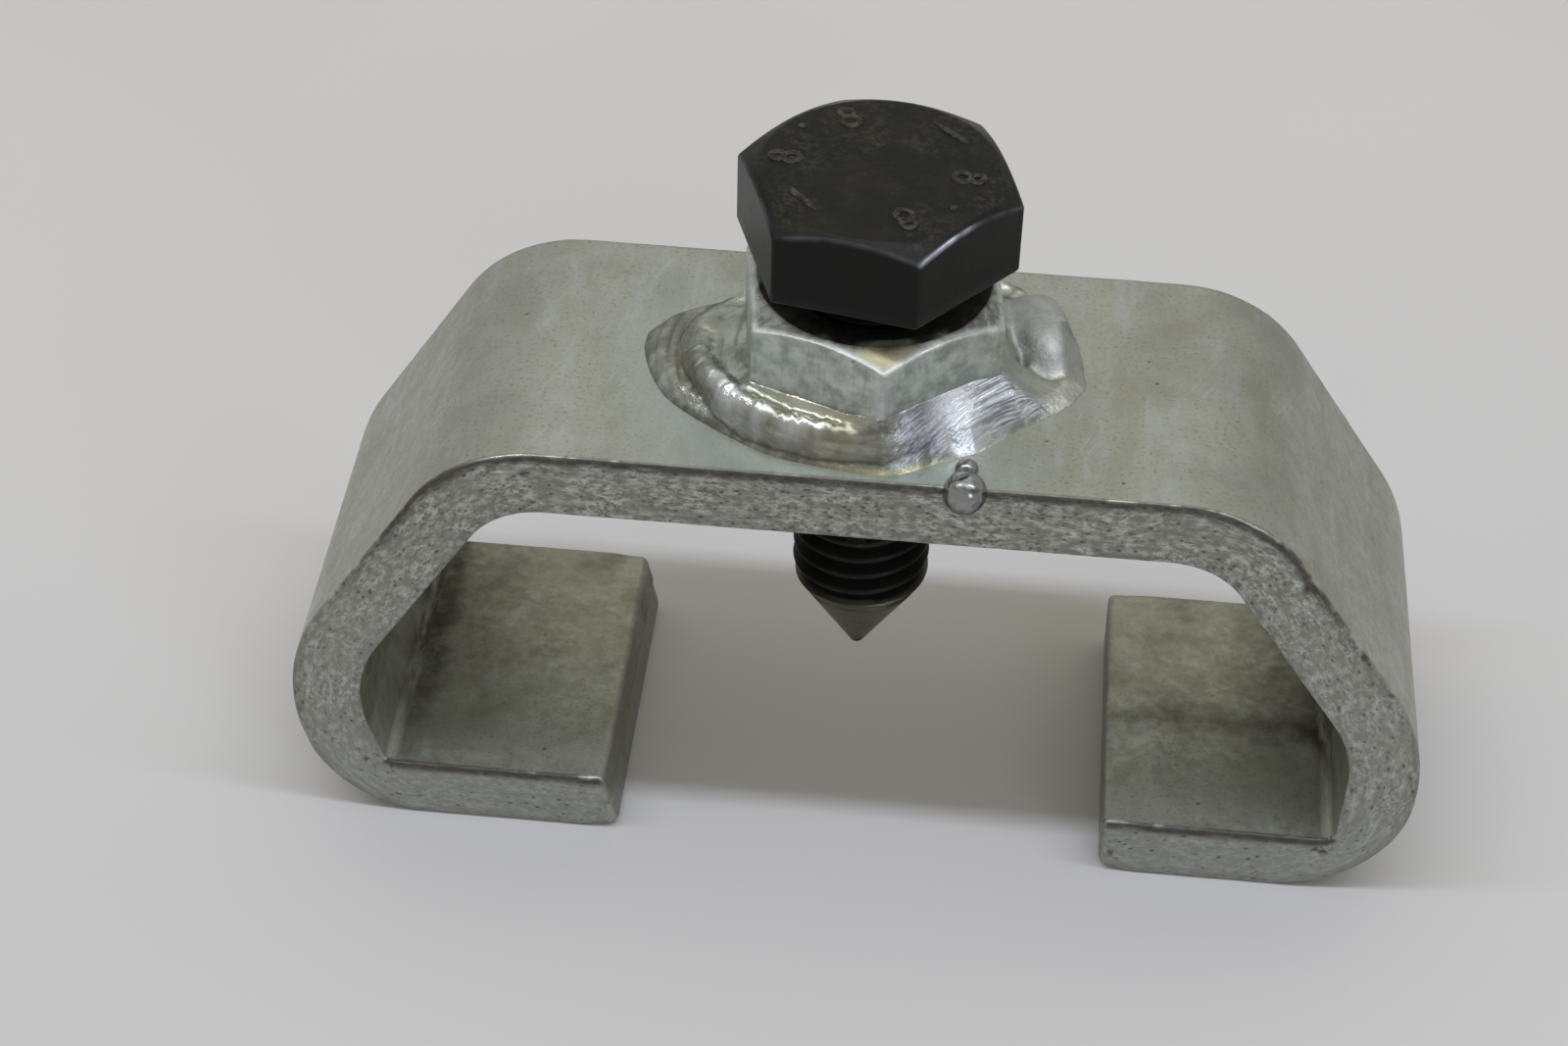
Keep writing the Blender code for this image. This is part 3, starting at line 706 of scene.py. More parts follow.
def chamfer_edge(points, sizes, turn, top, width):
    """How near each point lies to the edge between the chamfer and the flats, from 0 to 1, and its height over it."""
    circle = sizes.across_flats / 2 * sizes.chamfer_share
    x, y, z = points.T
    wall = np.array([hexagon_radius(angle - turn + HALF_SIDE, sizes.across_flats, sizes.corner_radius)
                     for angle in np.arctan2(y, x)])
    shoulder = top - np.maximum(wall - circle, 0.0001) * math.tan(HALF_SIDE)
    return smoothstep(width, width * 0.25, np.hypot(wall - np.hypot(x, y), z - shoulder)), z - shoulder


def turned_place(radius, height, angle, turn):
    """A point at an angle round the axis; the section's own corner at 30 degrees is turned to the given angle."""
    real = angle + turn - HALF_SIDE
    return Vector((radius * math.cos(real), radius * math.sin(real), height))


def nut_finish(colours):
    """Zinc plate on the nut: dull flats, light worn edges with a painted highlight, a painted yellow highlight on the
    front corner, and grime with painted shade at the foot, in the bore and under the bolt head.
    """
    zinc = Finish("nut_zinc")
    rubbed_and_glint, dirt_and_shade, yellow = zinc.channels("wear")
    mottle = zinc.share(zinc.noise(0.8, 6, 0.65), 0.34, 0.66)
    specks = zinc.times(zinc.fade(zinc.cells(0.9), 0.05, 0.16), zinc.share(zinc.noise(0.7, 2), 0.46, 0.6))
    streaks = zinc.noise(1.6, 3, 0.6, zinc.stretched((0.5, 0.5, 6)))
    cloudy = zinc.spread(zinc.noise(0.9, 5, 0.7), 0.40, 0.60, 0.35, 1.0)
    base = zinc.layers(
        (0.32, 0.345, 0.32),
        (mottle, (0.58, 0.62, 0.575)),
        (zinc.share(zinc.noise(0.35, 3), 0.5, 0.72, 0.45), (0.50, 0.51, 0.55)),
        (zinc.times(specks, 0.7), (0.12, 0.10, 0.08)),
        (zinc.share(streaks, 0.56, 0.72, 0.4), (0.26, 0.27, 0.25)),
        # worn edges with a painted highlight, then the painted yellow highlight at the front corner
        (zinc.times(rubbed_and_glint, 0.6), (0.54, 0.53, 0.495)),
        (zinc.times(yellow, 0.85), (0.50, 0.45, 0.26)),
        # grime with painted shade; nearly black where the head's shadow and the bore's shade are painted
        (zinc.times(dirt_and_shade, cloudy), (0.12, 0.105, 0.085)),
        (zinc.share(dirt_and_shade, 0.84, 1.0, 0.9), (0.014, 0.013, 0.012)))
    roughness = zinc.towards(rubbed_and_glint, zinc.spread(mottle, 0, 1, 0.42, 0.54), 0.30)
    roughness = zinc.plus(roughness, zinc.times(dirt_and_shade, 0.25))
    grain = zinc.bump(zinc.noise(2.2, 5, 0.6), 0.00003, 0.7)
    return zinc.finish(base, roughness, zinc.bump(zinc.noise(0.45, 2, 0.4), 0.00012, 0.5, grain))


COUNTERSINK = 0.0008
# width of the light line along the edge between flats and chamfer: worn zinc with a painted highlight on the nut, a
# painted glint on the head
NUT_RIM, HEAD_RIM = 0.00021, 0.00026


def nut_masks(points, sizes, bottom, top):
    """Where the nut's edges are light (worn, with a painted highlight), where it is soiled and painted with shade,
    and where a yellow highlight is painted on its front corner.
    """
    x, y, z = points.T
    radius = np.hypot(x, y)
    circle = sizes.across_flats / 2 * sizes.chamfer_share
    bore = sizes.bore_radius
    rim, above = chamfer_edge(points, sizes, sizes.nut_turn, top, NUT_RIM)
    off = (np.arctan2(y, x) - sizes.nut_turn + HALF_SIDE) % (2 * HALF_SIDE) - HALF_SIDE
    corner = smoothstep(0.9955, 0.9995, np.cos(off))
    # the light line along the chamfer edge, worn zinc with a painted highlight, and the worn upright corners
    rubbed_and_glint = np.clip(rim + 0.3 * corner * smoothstep(bottom + 0.003, top - 0.002, z), 0, 1)
    rubbed_and_glint *= np.clip(0.45 + 1.1 * rough(points, 0.0011, 6.0), 0.05, 1)
    chamfer = smoothstep(0.00008, 0.00030, above) * (radius > bore + 0.0005)
    # a painted yellow highlight on the chamfer at the front corner
    front = smoothstep(0.0030, 0.0012, np.hypot(x - 0.0016, y + 0.0090)) * smoothstep(circle - 0.0012, circle, radius)
    front *= chamfer
    # painted shade at the foot of the nut against the weld, and in the bore
    crevice_shade = smoothstep(0.0034, 0.0026, z - bottom) * smoothstep(0.006, 0.0075, radius)
    inside = smoothstep(bore + 0.0014, bore + 0.0006, radius)
    # painted shadow and reflection of the black bolt head on the nut's top face
    head_shadow = smoothstep(circle + 0.0001, circle - 0.0008, radius) * (z > top - 0.0003)
    # the chamfer and top darker, less at the front corner, with the painted shade added
    dirt_and_shade = np.clip(crevice_shade * 0.7 + inside + chamfer * (0.80 - 0.5 * front) + head_shadow, 0, 1)
    return np.column_stack([np.clip(rubbed_and_glint, 0, 1), dirt_and_shade, front])


class PULLER_OT_nut(bpy.types.Operator):
    """Shapes the welded nut with its rounded corners, chamfer and countersunk bore"""

    bl_idname = "puller.nut"
    bl_label = "Weld nut"

    def execute(self, context):
        sizes = settings("puller_hardware")
        bottom, top = NUT_BOX[0].z, NUT_BOX[1].z
        bore, sink = sizes.bore_radius, COUNTERSINK
        circle = sizes.across_flats / 2 * sizes.chamfer_share

        def section(angle):
            wall = hexagon_section(sizes.across_flats, sizes.corner_radius, circle, bottom, top, angle)
            rim = [(circle - 0.0005 - (circle - 0.0005 - bore - sink) * step / 3, top) for step in range(1, 4)]
            lead = [(bore + sink * (1 - step / 3), top - sink * step / 3) for step in range(1, 4)]
            well = [(bore, top - sink - (top - bottom - 2 * sink) * step / 4) for step in range(1, 5)]
            return wall + rim + lead + well + [(bore + sink, bottom)]

        def put(i, angle):
            return turned_place(*section(angle)[i], angle, sizes.nut_turn)

        bm = ring_body(len(section(0.0)), ROUND_STEPS, put, ROUND_CROWDING)
        piece = new_piece("nut_body", bm, nut_finish(settings("puller_finish")), "yoke", "nut_zinc", "weld_nut")
        paint(piece, "wear", nut_masks(coordinates(piece.data), sizes, bottom, top))
        return {"FINISHED"}


# The forcing bolt

# share of the way down a groove along one pitch, and the groove's depth as a share of the pitch
THREAD_PROFILE = (0.0, 0.0625, 0.44, 0.56, 0.9375, 1.0), (0, 0, 1, 1, 0, 0)
THREAD_DEPTH_SHARE = 0.6134
BLUNT_RADIUS = 0.0006
WASHER_RADIUS, WASHER_LIFT = 0.0079, 0.0002
# degrees round the head where a glint is painted along its edge: start, full, still full and end
GLINT_ARC = (288, 292, 306, 328)


def oxide_finish(colours):
    """Black oxide, with a brown bloom in places, bare turned metal on the point, a painted glint along the head's
    edge and a painted highlight down the shank.
    """
    black = Finish("black_oxide", metallic=0.0)
    bare, rubbed_and_glint, soiled = black.channels("wear")
    bloom = black.times(black.share(black.noise(0.3, 5, 0.6), 0.42, 0.7),
                        black.plus(black.times(soiled, 0.8), 0.2))
    grime = black.times(black.share(black.noise(0.22, 4, 0.6), 0.42, 0.62),
                        black.share(black.noise(1.9, 6, 0.72), 0.46, 0.62))
    # the raised marks a little lighter, and the painted highlight down the shank's front
    dust_and_sheen = black.times(black.attribute("stand_out"), black.share(black.noise(1.6, 4, 0.7), 0.42, 0.62))
    rings = black.noise(1.0, 3, 0.5, black.stretched((8, 8, 0.17)))
    metal = black.mix(black.share(rings, 0.35, 0.65), (0.085, 0.080, 0.060), (0.14, 0.13, 0.10))
    base = black.layers(
        colours.oxide,
        (black.times(bloom, 0.55), colours.oxide_brown),
        (black.times(black.times(grime, soiled), 0.7), (0.034, 0.031, 0.020)),
        (dust_and_sheen, (0.052, 0.046, 0.030)),
        # the painted glint along the head's edge, pale blue-white and metallic
        (rubbed_and_glint, (0.60, 0.64, 0.74)),
        (bare, metal))
    black.join(black.math("MAXIMUM", bare, rubbed_and_glint), black.shader.inputs["Metallic"])
    black.shader.inputs["Specular IOR Level"].default_value = 0.15
    roughness = black.towards(rubbed_and_glint, black.spread(bloom, 0, 1, 0.34, 0.46), 0.3)
    grain = black.bump(black.noise(1.6, 6, 0.65), 0.00004, 0.8)
    return black.finish(base, roughness, black.bump(rings, 0.00003, 0.4, grain))


def thread_body(sizes, root, tip):
    """The threaded shank with its point: a section of whole pitches spun once while it drops by one pitch."""
    per_pitch, steps = 14, 96
    pitches = math.ceil((root - tip) / sizes.pitch) + 2
    half_point = sizes.point_angle / 2
    apex = tip - BLUNT_RADIUS * (1 / math.sin(half_point) - 1)
    depth = THREAD_DEPTH_SHARE * sizes.pitch

    bm = bmesh.new()
    verts = []
    for i in range(pitches * per_pitch + 1):
        rise = np.interp(i % per_pitch / per_pitch, *THREAD_PROFILE)
        height = root + sizes.pitch - i * sizes.pitch / per_pitch
        verts.append(bm.verts.new((sizes.thread_radius - depth * rise, 0, height)))
    edges = [bm.edges.new(pair) for pair in zip(verts, verts[1:])]
    bmesh.ops.spin(bm, geom=verts + edges, cent=(0, 0, 0), axis=(0, 0, 1), dvec=(0, 0, sizes.pitch / steps),
                   angle=math.tau, steps=steps, use_merge=False, use_duplicate=False)
    for vert in bm.verts:
        height = max(vert.co.z, tip)
        flat = Vector((vert.co.x, vert.co.y))
        reach = min(flat.length, max((height - apex) * math.tan(half_point), 0.0))
        if height < tip + BLUNT_RADIUS:
            reach = min(reach, math.sqrt(max(BLUNT_RADIUS ** 2 - (tip + BLUNT_RADIUS - height) ** 2, 0)))
        flat = flat.normalized() * reach
        vert.co = (flat.x, flat.y, min(height, root))
    bmesh.ops.remove_doubles(bm, verts=bm.verts, dist=5e-6)
    bmesh.ops.dissolve_degenerate(bm, edges=bm.edges, dist=1e-6)
    return bm


def thread_masks(points, sizes, tip):
    """Where the shank is bare metal and worn at the crests, and a painted highlight down its front."""
    x, y, z = points.T
    radius = np.hypot(x, y)
    steep = math.tan(sizes.point_angle / 2)
    edge = np.minimum((z - tip) * steep, sizes.thread_radius)
    on_cone = (radius > edge - 0.0002) & (z < tip + sizes.thread_radius / steep)
    bare = np.where(on_cone, smoothstep(0.0004, 0.0022, z - tip) * 0.75 + 0.1, 0.0)
    crest = smoothstep(sizes.thread_radius - 0.00012, sizes.thread_radius - 0.00002, radius) * 0.004
    # a painted highlight down the front of the shank
    sheen_streak = smoothstep(0.0016, 0.0003, np.abs(x + 0.0004 + 0.25 * (z - 0.026)))
    sheen_streak *= smoothstep(0.022, 0.0245, z) * (y < 0)
    return np.column_stack([bare, np.where(on_cone, 0, crest), bare * 0]), sheen_streak


def head_body(sizes, bottom, top):
    """The hexagon head with its chamfer, a slightly uneven top and its washer face."""
    circle = sizes.across_flats / 2 * sizes.chamfer_share
    wall_foot = bottom + WASHER_LIFT

    def section(angle):
        under = [(0.0, bottom), (sizes.thread_radius, bottom), (WASHER_RADIUS, bottom),
                 (WASHER_RADIUS + 0.00003, wall_foot)]
        wall = hexagon_section(sizes.across_flats, sizes.corner_radius, circle, wall_foot, top, angle)
        flat = [((circle - 0.0005) * (1 - step / 24), top) for step in range(1, 25)]
        return under + wall + flat

    def put(i, angle):
        point = turned_place(*section(angle)[i], angle, sizes.head_turn)
        if point.z > top - 0.00002:
            dish = 0.00002 * noise.fractal(point / 0.0011, 1.0, 2.0, 4) + 0.00003 * noise.noise(point / 0.004)
            point.z -= abs(dish) + 0.00001
        return point

    return ring_body(len(section(0.0)), ROUND_STEPS, put, ROUND_CROWDING, closed=False)


# kind, x and y in millimetres
MARK_SIZE = 0.00108
HEAD_MARKS = (("8", -2.55, 5.73), (".", -5.58, 4.28), ("8", -6.41, 0.57), ("-", -4.85, -4.05),
              ("8", 2.09, -5.60), (".", 5.05, -3.95), ("8", 5.95, -0.40), ("-", 4.4, 4.7))


def mark_eight(bm, size):
    """A figure eight of two raised rings."""
    for lift, radius in ((0.45, 0.42), (-0.50, 0.52)):
        at = Matrix.Translation((0, lift * size, 0))
        spine = bmesh.ops.create_circle(bm, segments=10, radius=0.25 * size,
                                        matrix=at @ Matrix.Translation((radius * size, 0, 0))
                                        @ Matrix.Rotation(math.pi / 2, 4, "X"))
        edges = dict.fromkeys(edge for vert in spine["verts"] for edge in vert.link_edges)
        bmesh.ops.spin(bm, geom=spine["verts"] + list(edges), cent=(0, lift * size, 0), axis=(0, 0, 1),
                       angle=math.tau, steps=26, use_merge=True, use_duplicate=False)


def raised_marks(sizes, top):
    """Generic strength figures and dashes that stand out of the head in a ring, worn and a little sunk."""
    marks = bmesh.new()
    size = MARK_SIZE
    for kind, x, y in HEAD_MARKS:
        one = bmesh.new()
        if kind == "8":
            mark_eight(one, size)
        elif kind == ".":
            bmesh.ops.create_uvsphere(one, u_segments=14, v_segments=8, radius=0.30 * size)
        else:
            bmesh.ops.create_uvsphere(one, u_segments=16, v_segments=10, radius=0.27 * size)
            bmesh.ops.scale(one, vec=(6.0, 1.0, 1.0), verts=one.verts)
        outwards = math.atan2(y, x) - math.pi / 2
        height = Matrix.Diagonal((1, 1, sizes.mark_height / (0.30 * size), 1))
        at = Matrix.Translation((x * MM, y * MM, top - 0.00002)) @ Matrix.Rotation(outwards, 4, "Z") @ height
        bmesh.ops.transform(one, matrix=at, verts=one.verts)
        scratch = bpy.data.meshes.new("mark")
        one.to_mesh(scratch)
        one.free()
        marks.from_mesh(scratch)
        bpy.data.meshes.remove(scratch)
    for vert in marks.verts:
        wave = noise.noise_vector(vert.co / 0.0007) * 0.00012
        vert.co += Vector((wave.x, wave.y, -0.00006 * abs(noise.fractal(vert.co / 0.0006, 1.0, 2.0, 3))))
        vert.co.z = min(vert.co.z, BOLT_BOX[1].z)
    return marks


class PULLER_OT_bolt(bpy.types.Operator):
    """Shapes the forcing bolt: head, raised marks, cut thread and turned point"""

    bl_idname = "puller.bolt"
    bl_label = "Forcing bolt"

    def execute(self, context):
        sizes = settings("puller_hardware")
        low, high = BOLT_BOX
        bearing = high.z - sizes.head_height
        top = high.z - sizes.mark_height * 0.5
        finish = oxide_finish(settings("puller_finish"))

        head = new_piece("bolt_head", head_body(sizes, bearing, top), finish, "forcing_bolt", "black_oxide",
                         "forcing_bolt")
        points = coordinates(head.data)
        rim, above = chamfer_edge(points, sizes, sizes.head_turn, top, HEAD_RIM)
        degrees = np.degrees(np.arctan2(points[:, 1], points[:, 0])) % 360
        # a painted glint along the head's edge over the front-right arc, faint elsewhere
        bright = 0.07 + over_arc(0.81, degrees, *GLINT_ARC)
        rim *= bright * np.clip(0.7 + 0.8 * rough(points, 0.0015, 3.0), 0, 1)
        paint(head, "wear", np.column_stack([rim * 0, rim, smoothstep(0.0001, 0.0004, above)]))

        marks = new_piece("head_marks", raised_marks(sizes, top), finish, "forcing_bolt", "black_oxide")
        raised = coordinates(marks.data)[:, 2] - top
        rubbed_and_glint = smoothstep(0.00001, sizes.mark_height * 0.5, raised) * 0.03 * 0.3
        paint(marks, "stand_out", smoothstep(0.0, sizes.mark_height * 0.4, raised))
        paint(marks, "wear", np.column_stack([rubbed_and_glint * 0, rubbed_and_glint, rubbed_and_glint * 0 + 1]))

        shank = new_piece("bolt_thread", thread_body(sizes, bearing + 0.0004, low.z), finish, "forcing_bolt",
                          "black_oxide")
        wear, sheen_streak = thread_masks(coordinates(shank.data), sizes, low.z)
        paint(shank, "wear", wear)
        paint(shank, "stand_out", sheen_streak)
        return {"FINISHED"}


# The weld

# the weld's outer line and its height against the nut: degrees round the nut, millimetres
TOE = ((0, 15.0), (6, 14.9), (15, 15.0), (28, 15.3), (42, 14.6), (62, 12.5), (100, 11.6), (130, 11.6), (145, 11.9),
       (153, 13.4), (162, 15.0), (171, 16.0), (177, 15.9), (188, 15.2), (198, 14.5), (207, 13.5), (215, 12.7),
       (225, 12.05), (238, 11.6), (246, 11.3), (254, 11.0), (264, 10.95), (272, 11.1), (281, 11.25), (288, 11.1),
       (297, 10.75), (306, 10.75), (315, 11.2), (324, 11.3), (337, 11.9), (345, 13.1), (353, 14.3), (360, 15.0))
JUNCTION = ((0, 2.3), (30, 2.6), (65, 2.7), (100, 2.6), (130, 2.4), (150, 1.5), (165, 1.6), (182, 1.9), (200, 2.5),
            (218, 2.9), (262, 3.0), (278, 3.5), (300, 3.6), (324, 3.7), (340, 3.2), (352, 2.5), (360, 2.3))
# passes: x, y, half width and height in millimetres
INNER_PASS = ((-10.6, 4.6, 1.5, 0.9), (-11.6, 2.8, 1.6, 1.2), (-12.0, 0.8, 1.7, 1.6), (-11.6, -1.9, 1.7, 2.0),
              (-10.5, -4.0, 1.7, 2.45), (-9.0, -6.0, 1.7, 2.8), (-7.2, -7.5, 1.6, 2.85), (-5.4, -8.4, 1.5, 2.75),
              (-3.0, -9.1, 1.4, 2.65), (-1.0, -9.4, 1.3, 2.65), (1.4, -9.6, 1.2, 2.5), (3.2, -8.8, 1.2, 2.2))
OUTER_PASS = ((-10.2, 6.6, 1.4, 0.5), (-12.2, 5.0, 2.0, 0.7), (-13.8, 3.3, 2.4, 0.85), (-14.3, 0.9, 2.5, 1.0),
              (-13.6, -1.8, 2.5, 1.05), (-12.3, -4.2, 2.3, 1.1), (-10.6, -6.2, 2.1, 1.05), (-8.6, -7.7, 1.9, 1.0),
              (-6.2, -9.1, 1.7, 0.95), (-3.2, -10.1, 1.4, 0.9), (0.3, -10.5, 1.3, 0.9), (3.2, -9.9, 1.2, 0.8),
              (5.2, -8.7, 1.0, 0.7))
BACK_PASS = ((9.6, 9.4, 1.8, 1.4), (5.0, 10.2, 2.4, 2.5), (0.0, 9.9, 2.3, 2.6), (-4.4, 9.4, 2.2, 2.4),
             (-7.6, 7.7, 2.1, 2.1), (-9.2, 6.0, 1.9, 1.6))
# lines on the weld: x, y and half width in millimetres
HEAT_BAND = ((-13.4, 3.4, 0.8), (-14.0, 0.0, 1.0), (-12.4, -3.6, 1.0), (-10.5, -5.7, 0.9), (-8.4, -7.5, 0.9),
             (-5.8, -9.2, 0.9), (-3.0, -10.2, 0.8), (0.0, -10.3, 1.1), (2.6, -9.6, 1.6), (4.4, -7.6, 1.7),
             (6.4, -5.6, 1.1))
# where highlights are painted on the inner pass
HIGHLIGHT_LINES = ((-10.6, -4.2, 0.5), (-9.2, -6.2, 1.0), (-7.6, -7.5, 1.1), (-5.6, -8.7, 0.8), (-3.0, -9.4, 0.5))
GOLD = ((-6.9, -7.2, 1.0), (-3.0, -8.7, 1.1), (-0.6, -9.4, 0.9))
RINGS, SEGMENTS = 46, 720
NUT_CORNER = 0.0003
BLOB_PLACE, BLOB_SIZE, BLOB_HEIGHT = (0.0117, 0.0047), (0.0029, 0.0044), 0.0026
PIT_PLACE, PIT_RADIUS, PIT_DEPTH = (0.0104, 0.0010), 0.00036, 0.0007


def round_table(table, angle):
    """Looks up a value in millimetres by angle in degrees."""
    angles, values = zip(*table)
    return np.interp(np.degrees(angle) % 360, angles, values) * MM


def soft_max(first, second, soft):
    """The larger of two heights, with a soft valley where they meet."""
    blend = np.clip(0.5 + 0.5 * (first - second) / soft, 0, 1)
    return second + (first - second) * blend + soft * blend * (1 - blend)


def along_pass(x, y, line):
    """How far each point lies from a line of (x, y, half width, height), as a share of the width, with the
    height there and the way along the line."""
    share = np.full(len(x), 1e9)
    height = np.zeros(len(x))
    way = np.zeros(len(x))
    gone = 0.0
    for start, end in zip(line, line[1:]):
        x0, y0, w0, h0 = (value * MM for value in start)
        x1, y1, w1, h1 = (value * MM for value in end)
        span = math.hypot(x1 - x0, y1 - y0)
        t = np.clip(((x - x0) * (x1 - x0) + (y - y0) * (y1 - y0)) / span ** 2, 0, 1)
        here = np.hypot(x - x0 - t * (x1 - x0), y - y0 - t * (y1 - y0)) / (w0 + t * (w1 - w0))
        nearer = here < share
        share = np.where(nearer, here, share)
        height = np.where(nearer, h0 + t * (h1 - h0), height)
        way = np.where(nearer, gone + t * span, way)
        gone += span
    return share, height, way


def nearness(x, y, line, sharpness=1.0):
    """1 on a line of (x, y, half width), falling off softly beside it."""
    share, _, _ = along_pass(x, y, [(*point, 0) for point in line])
    return np.exp(-share ** 2 * sharpness)


def bead(x, y, line, pitch, ripple, wobble):
    """A bead laid along a line, with the crescent ripples of its cooled puddle."""
    share, height, way = along_pass(x, y, line)
    spacing = rough(np.column_stack([way, way * 0, way * 0]), pitch * 1.9, 13.0)
    crescent = np.cos((way / pitch - 0.55 * share ** 2 + 0.35 * wobble + 0.45 * spacing) * math.tau)
    strength = rough(np.column_stack([way, share * 0.0006, way * 0]), pitch * 2.3, 17.0)
    crescent *= np.clip(0.55 + 1.1 * strength, 0.1, 1.5)
    body = np.clip(1 - share ** 2, 0, 1) ** 0.8
    return height * body + ripple * crescent * np.clip(1 - share ** 2, 0, 1)


def over_arc(value, degrees, start, full, still, end):
    """Keeps a value over an arc, whole from full to still, eased down to 0 at the start and at the end."""
    return value * smoothstep(start, full, degrees) * smoothstep(end, still, degrees)


def weld_height(x, y, wall, sizes):
    """Height of the weld over the bar, and by name the masks for its finish: wear, form (with the painted highlights)
    and crevice_shade (painted shade in its hollows).
    """
    angle = np.arctan2(y, x)
    degrees = np.degrees(angle) % 360
    radius = np.hypot(x, y)
    toe, junction = round_table(TOE, angle), round_table(JUNCTION, angle)
    to_toe = toe - radius
    out = np.clip(radius - wall, 0, None)
    share_out = np.clip(out / (toe - wall), 0, 1)
    flat = np.column_stack([x, y, x * 0])
    coarse, fine = rough(flat, 0.0017, 2.0), rough(flat, 0.0005, 4.0)

    # the passes and the fillet that leads up to the nut
    pitch, ripple = sizes.ripple_pitch, sizes.ripple_height
    inner = bead(x, y, INNER_PASS, pitch, ripple * 2.6, 1.5 * coarse)
    outer = bead(x, y, OUTER_PASS, pitch * 1.3, ripple * 0.7, coarse)
    back = bead(x, y, BACK_PASS, pitch, ripple, coarse)
    lead = junction * (1 - share_out) ** 1.5 * 0.9 + 0.00055 * (1 - share_out ** 3)
    height = soft_max(soft_max(inner, outer, 0.0004), soft_max(back, lead, 0.0006), 0.0008)

    # the ground patch at the front corner, then the flat fan, the round blob and its pit at the right
    ground = over_arc(1, degrees, 280, 296, 340, 352)
    slope = junction * (1 - share_out) ** 0.85 + 0.00030
    height = height * (1 - ground) + (slope - 0.00003 * np.abs(fine)) * ground
    fan = np.clip(smoothstep(340, 350, degrees) + smoothstep(24, 12, degrees), 0, 1)
    sheet = 0.00055 + 0.00020 * smoothstep(0.003, 0.0004, to_toe)
    sheet = sheet + junction * np.clip(1 - out / 0.0042, 0, 1) ** 1.8
    height = height * (1 - fan) + sheet * fan
    off_x, off_y = x - BLOB_PLACE[0], y - BLOB_PLACE[1]
    blob = 1 - (off_x / BLOB_SIZE[0]) ** 2 - ((off_y + off_x * 0.28) / BLOB_SIZE[1]) ** 2
    height = soft_max(height, BLOB_HEIGHT * np.tanh(np.clip(blob, -1, 1) * 1.5) + 0.0003, 0.0010)
    pit = np.hypot(x - PIT_PLACE[0], y - PIT_PLACE[1]) / PIT_RADIUS
    height -= np.minimum(PIT_DEPTH * np.exp(-pit ** 2), height * 0.8)

    # unevenness, the rounded toe and its small lumps
    rim = np.clip(to_toe / np.where(fan > 0.5, 0.0016, 0.0010), 0, 1)
    rough_part = np.clip(1 - ground - 0.85 * fan - 0.55 * smoothstep(0, 0.2, blob), 0.12, 1)
    height = height + (0.00009 * coarse + 0.00002 * fine) * rough_part
    height = height * rim ** 0.75
    lumps = rough(np.column_stack([np.cos(angle), np.sin(angle), angle * 0]) * 0.0115, 0.0007, 8.0)
    beads = over_arc(smoothstep(0.0010, 0.0, to_toe), degrees, 195, 212, 280, 292)
    height += 0.00022 * beads * np.clip(lumps + 0.15, 0, 1) * rim

    brown = nearness(x, y, HEAT_BAND, 1.2)
    yellow = smoothstep(0.00036, 0.00014, to_toe) * np.clip(0.7 + 0.9 * lumps, 0, 1)
    yellow = over_arc(yellow, degrees, 248, 262, 300, 312)
    yellow = np.clip(yellow + 0.35 * nearness(x, y, GOLD), 0, 1)
    dome = smoothstep(-0.2, 0.2, blob)
    # painted highlights along the inner pass and a painted glint in the core of the ground patch
    core_x, core_y = x - 0.0068, y + 0.0077
    core = np.hypot(core_x * 0.8 + core_y * 0.5, core_y * 0.6 - core_x * 0.3) / 0.0016
    highlight = nearness(x, y, HIGHLIGHT_LINES, 1.3) * np.clip(0.65 + 0.9 * coarse, 0.05, 1) + np.exp(-core ** 2)
    # painted shade in the valley between the passes, along the toe and round the foot of the blob
    valley = np.exp(-((inner - outer) / 0.00016) ** 2) * smoothstep(0.0003, 0.0006, inner) * (1 - ground)
    line = over_arc(smoothstep(0.00055, 0.00020, to_toe), degrees, 150, 165, 262, 285)
    line = line * np.clip(0.55 + 0.7 * lumps, 0, 1)
    moat = np.exp(-((blob + 0.14) / 0.16) ** 2) * np.clip(0.5 + 0.8 * coarse, 0.1, 1)
    return height, {
        "wear": np.column_stack([ground * smoothstep(0.0001, 0.0007, to_toe), brown, yellow]),
        "form": np.column_stack([dome, np.clip(highlight, 0, 1), fan * (1 - dome)]),
        "crevice_shade": np.clip(0.9 * valley + line + 0.55 * moat, 0, 1),
    }


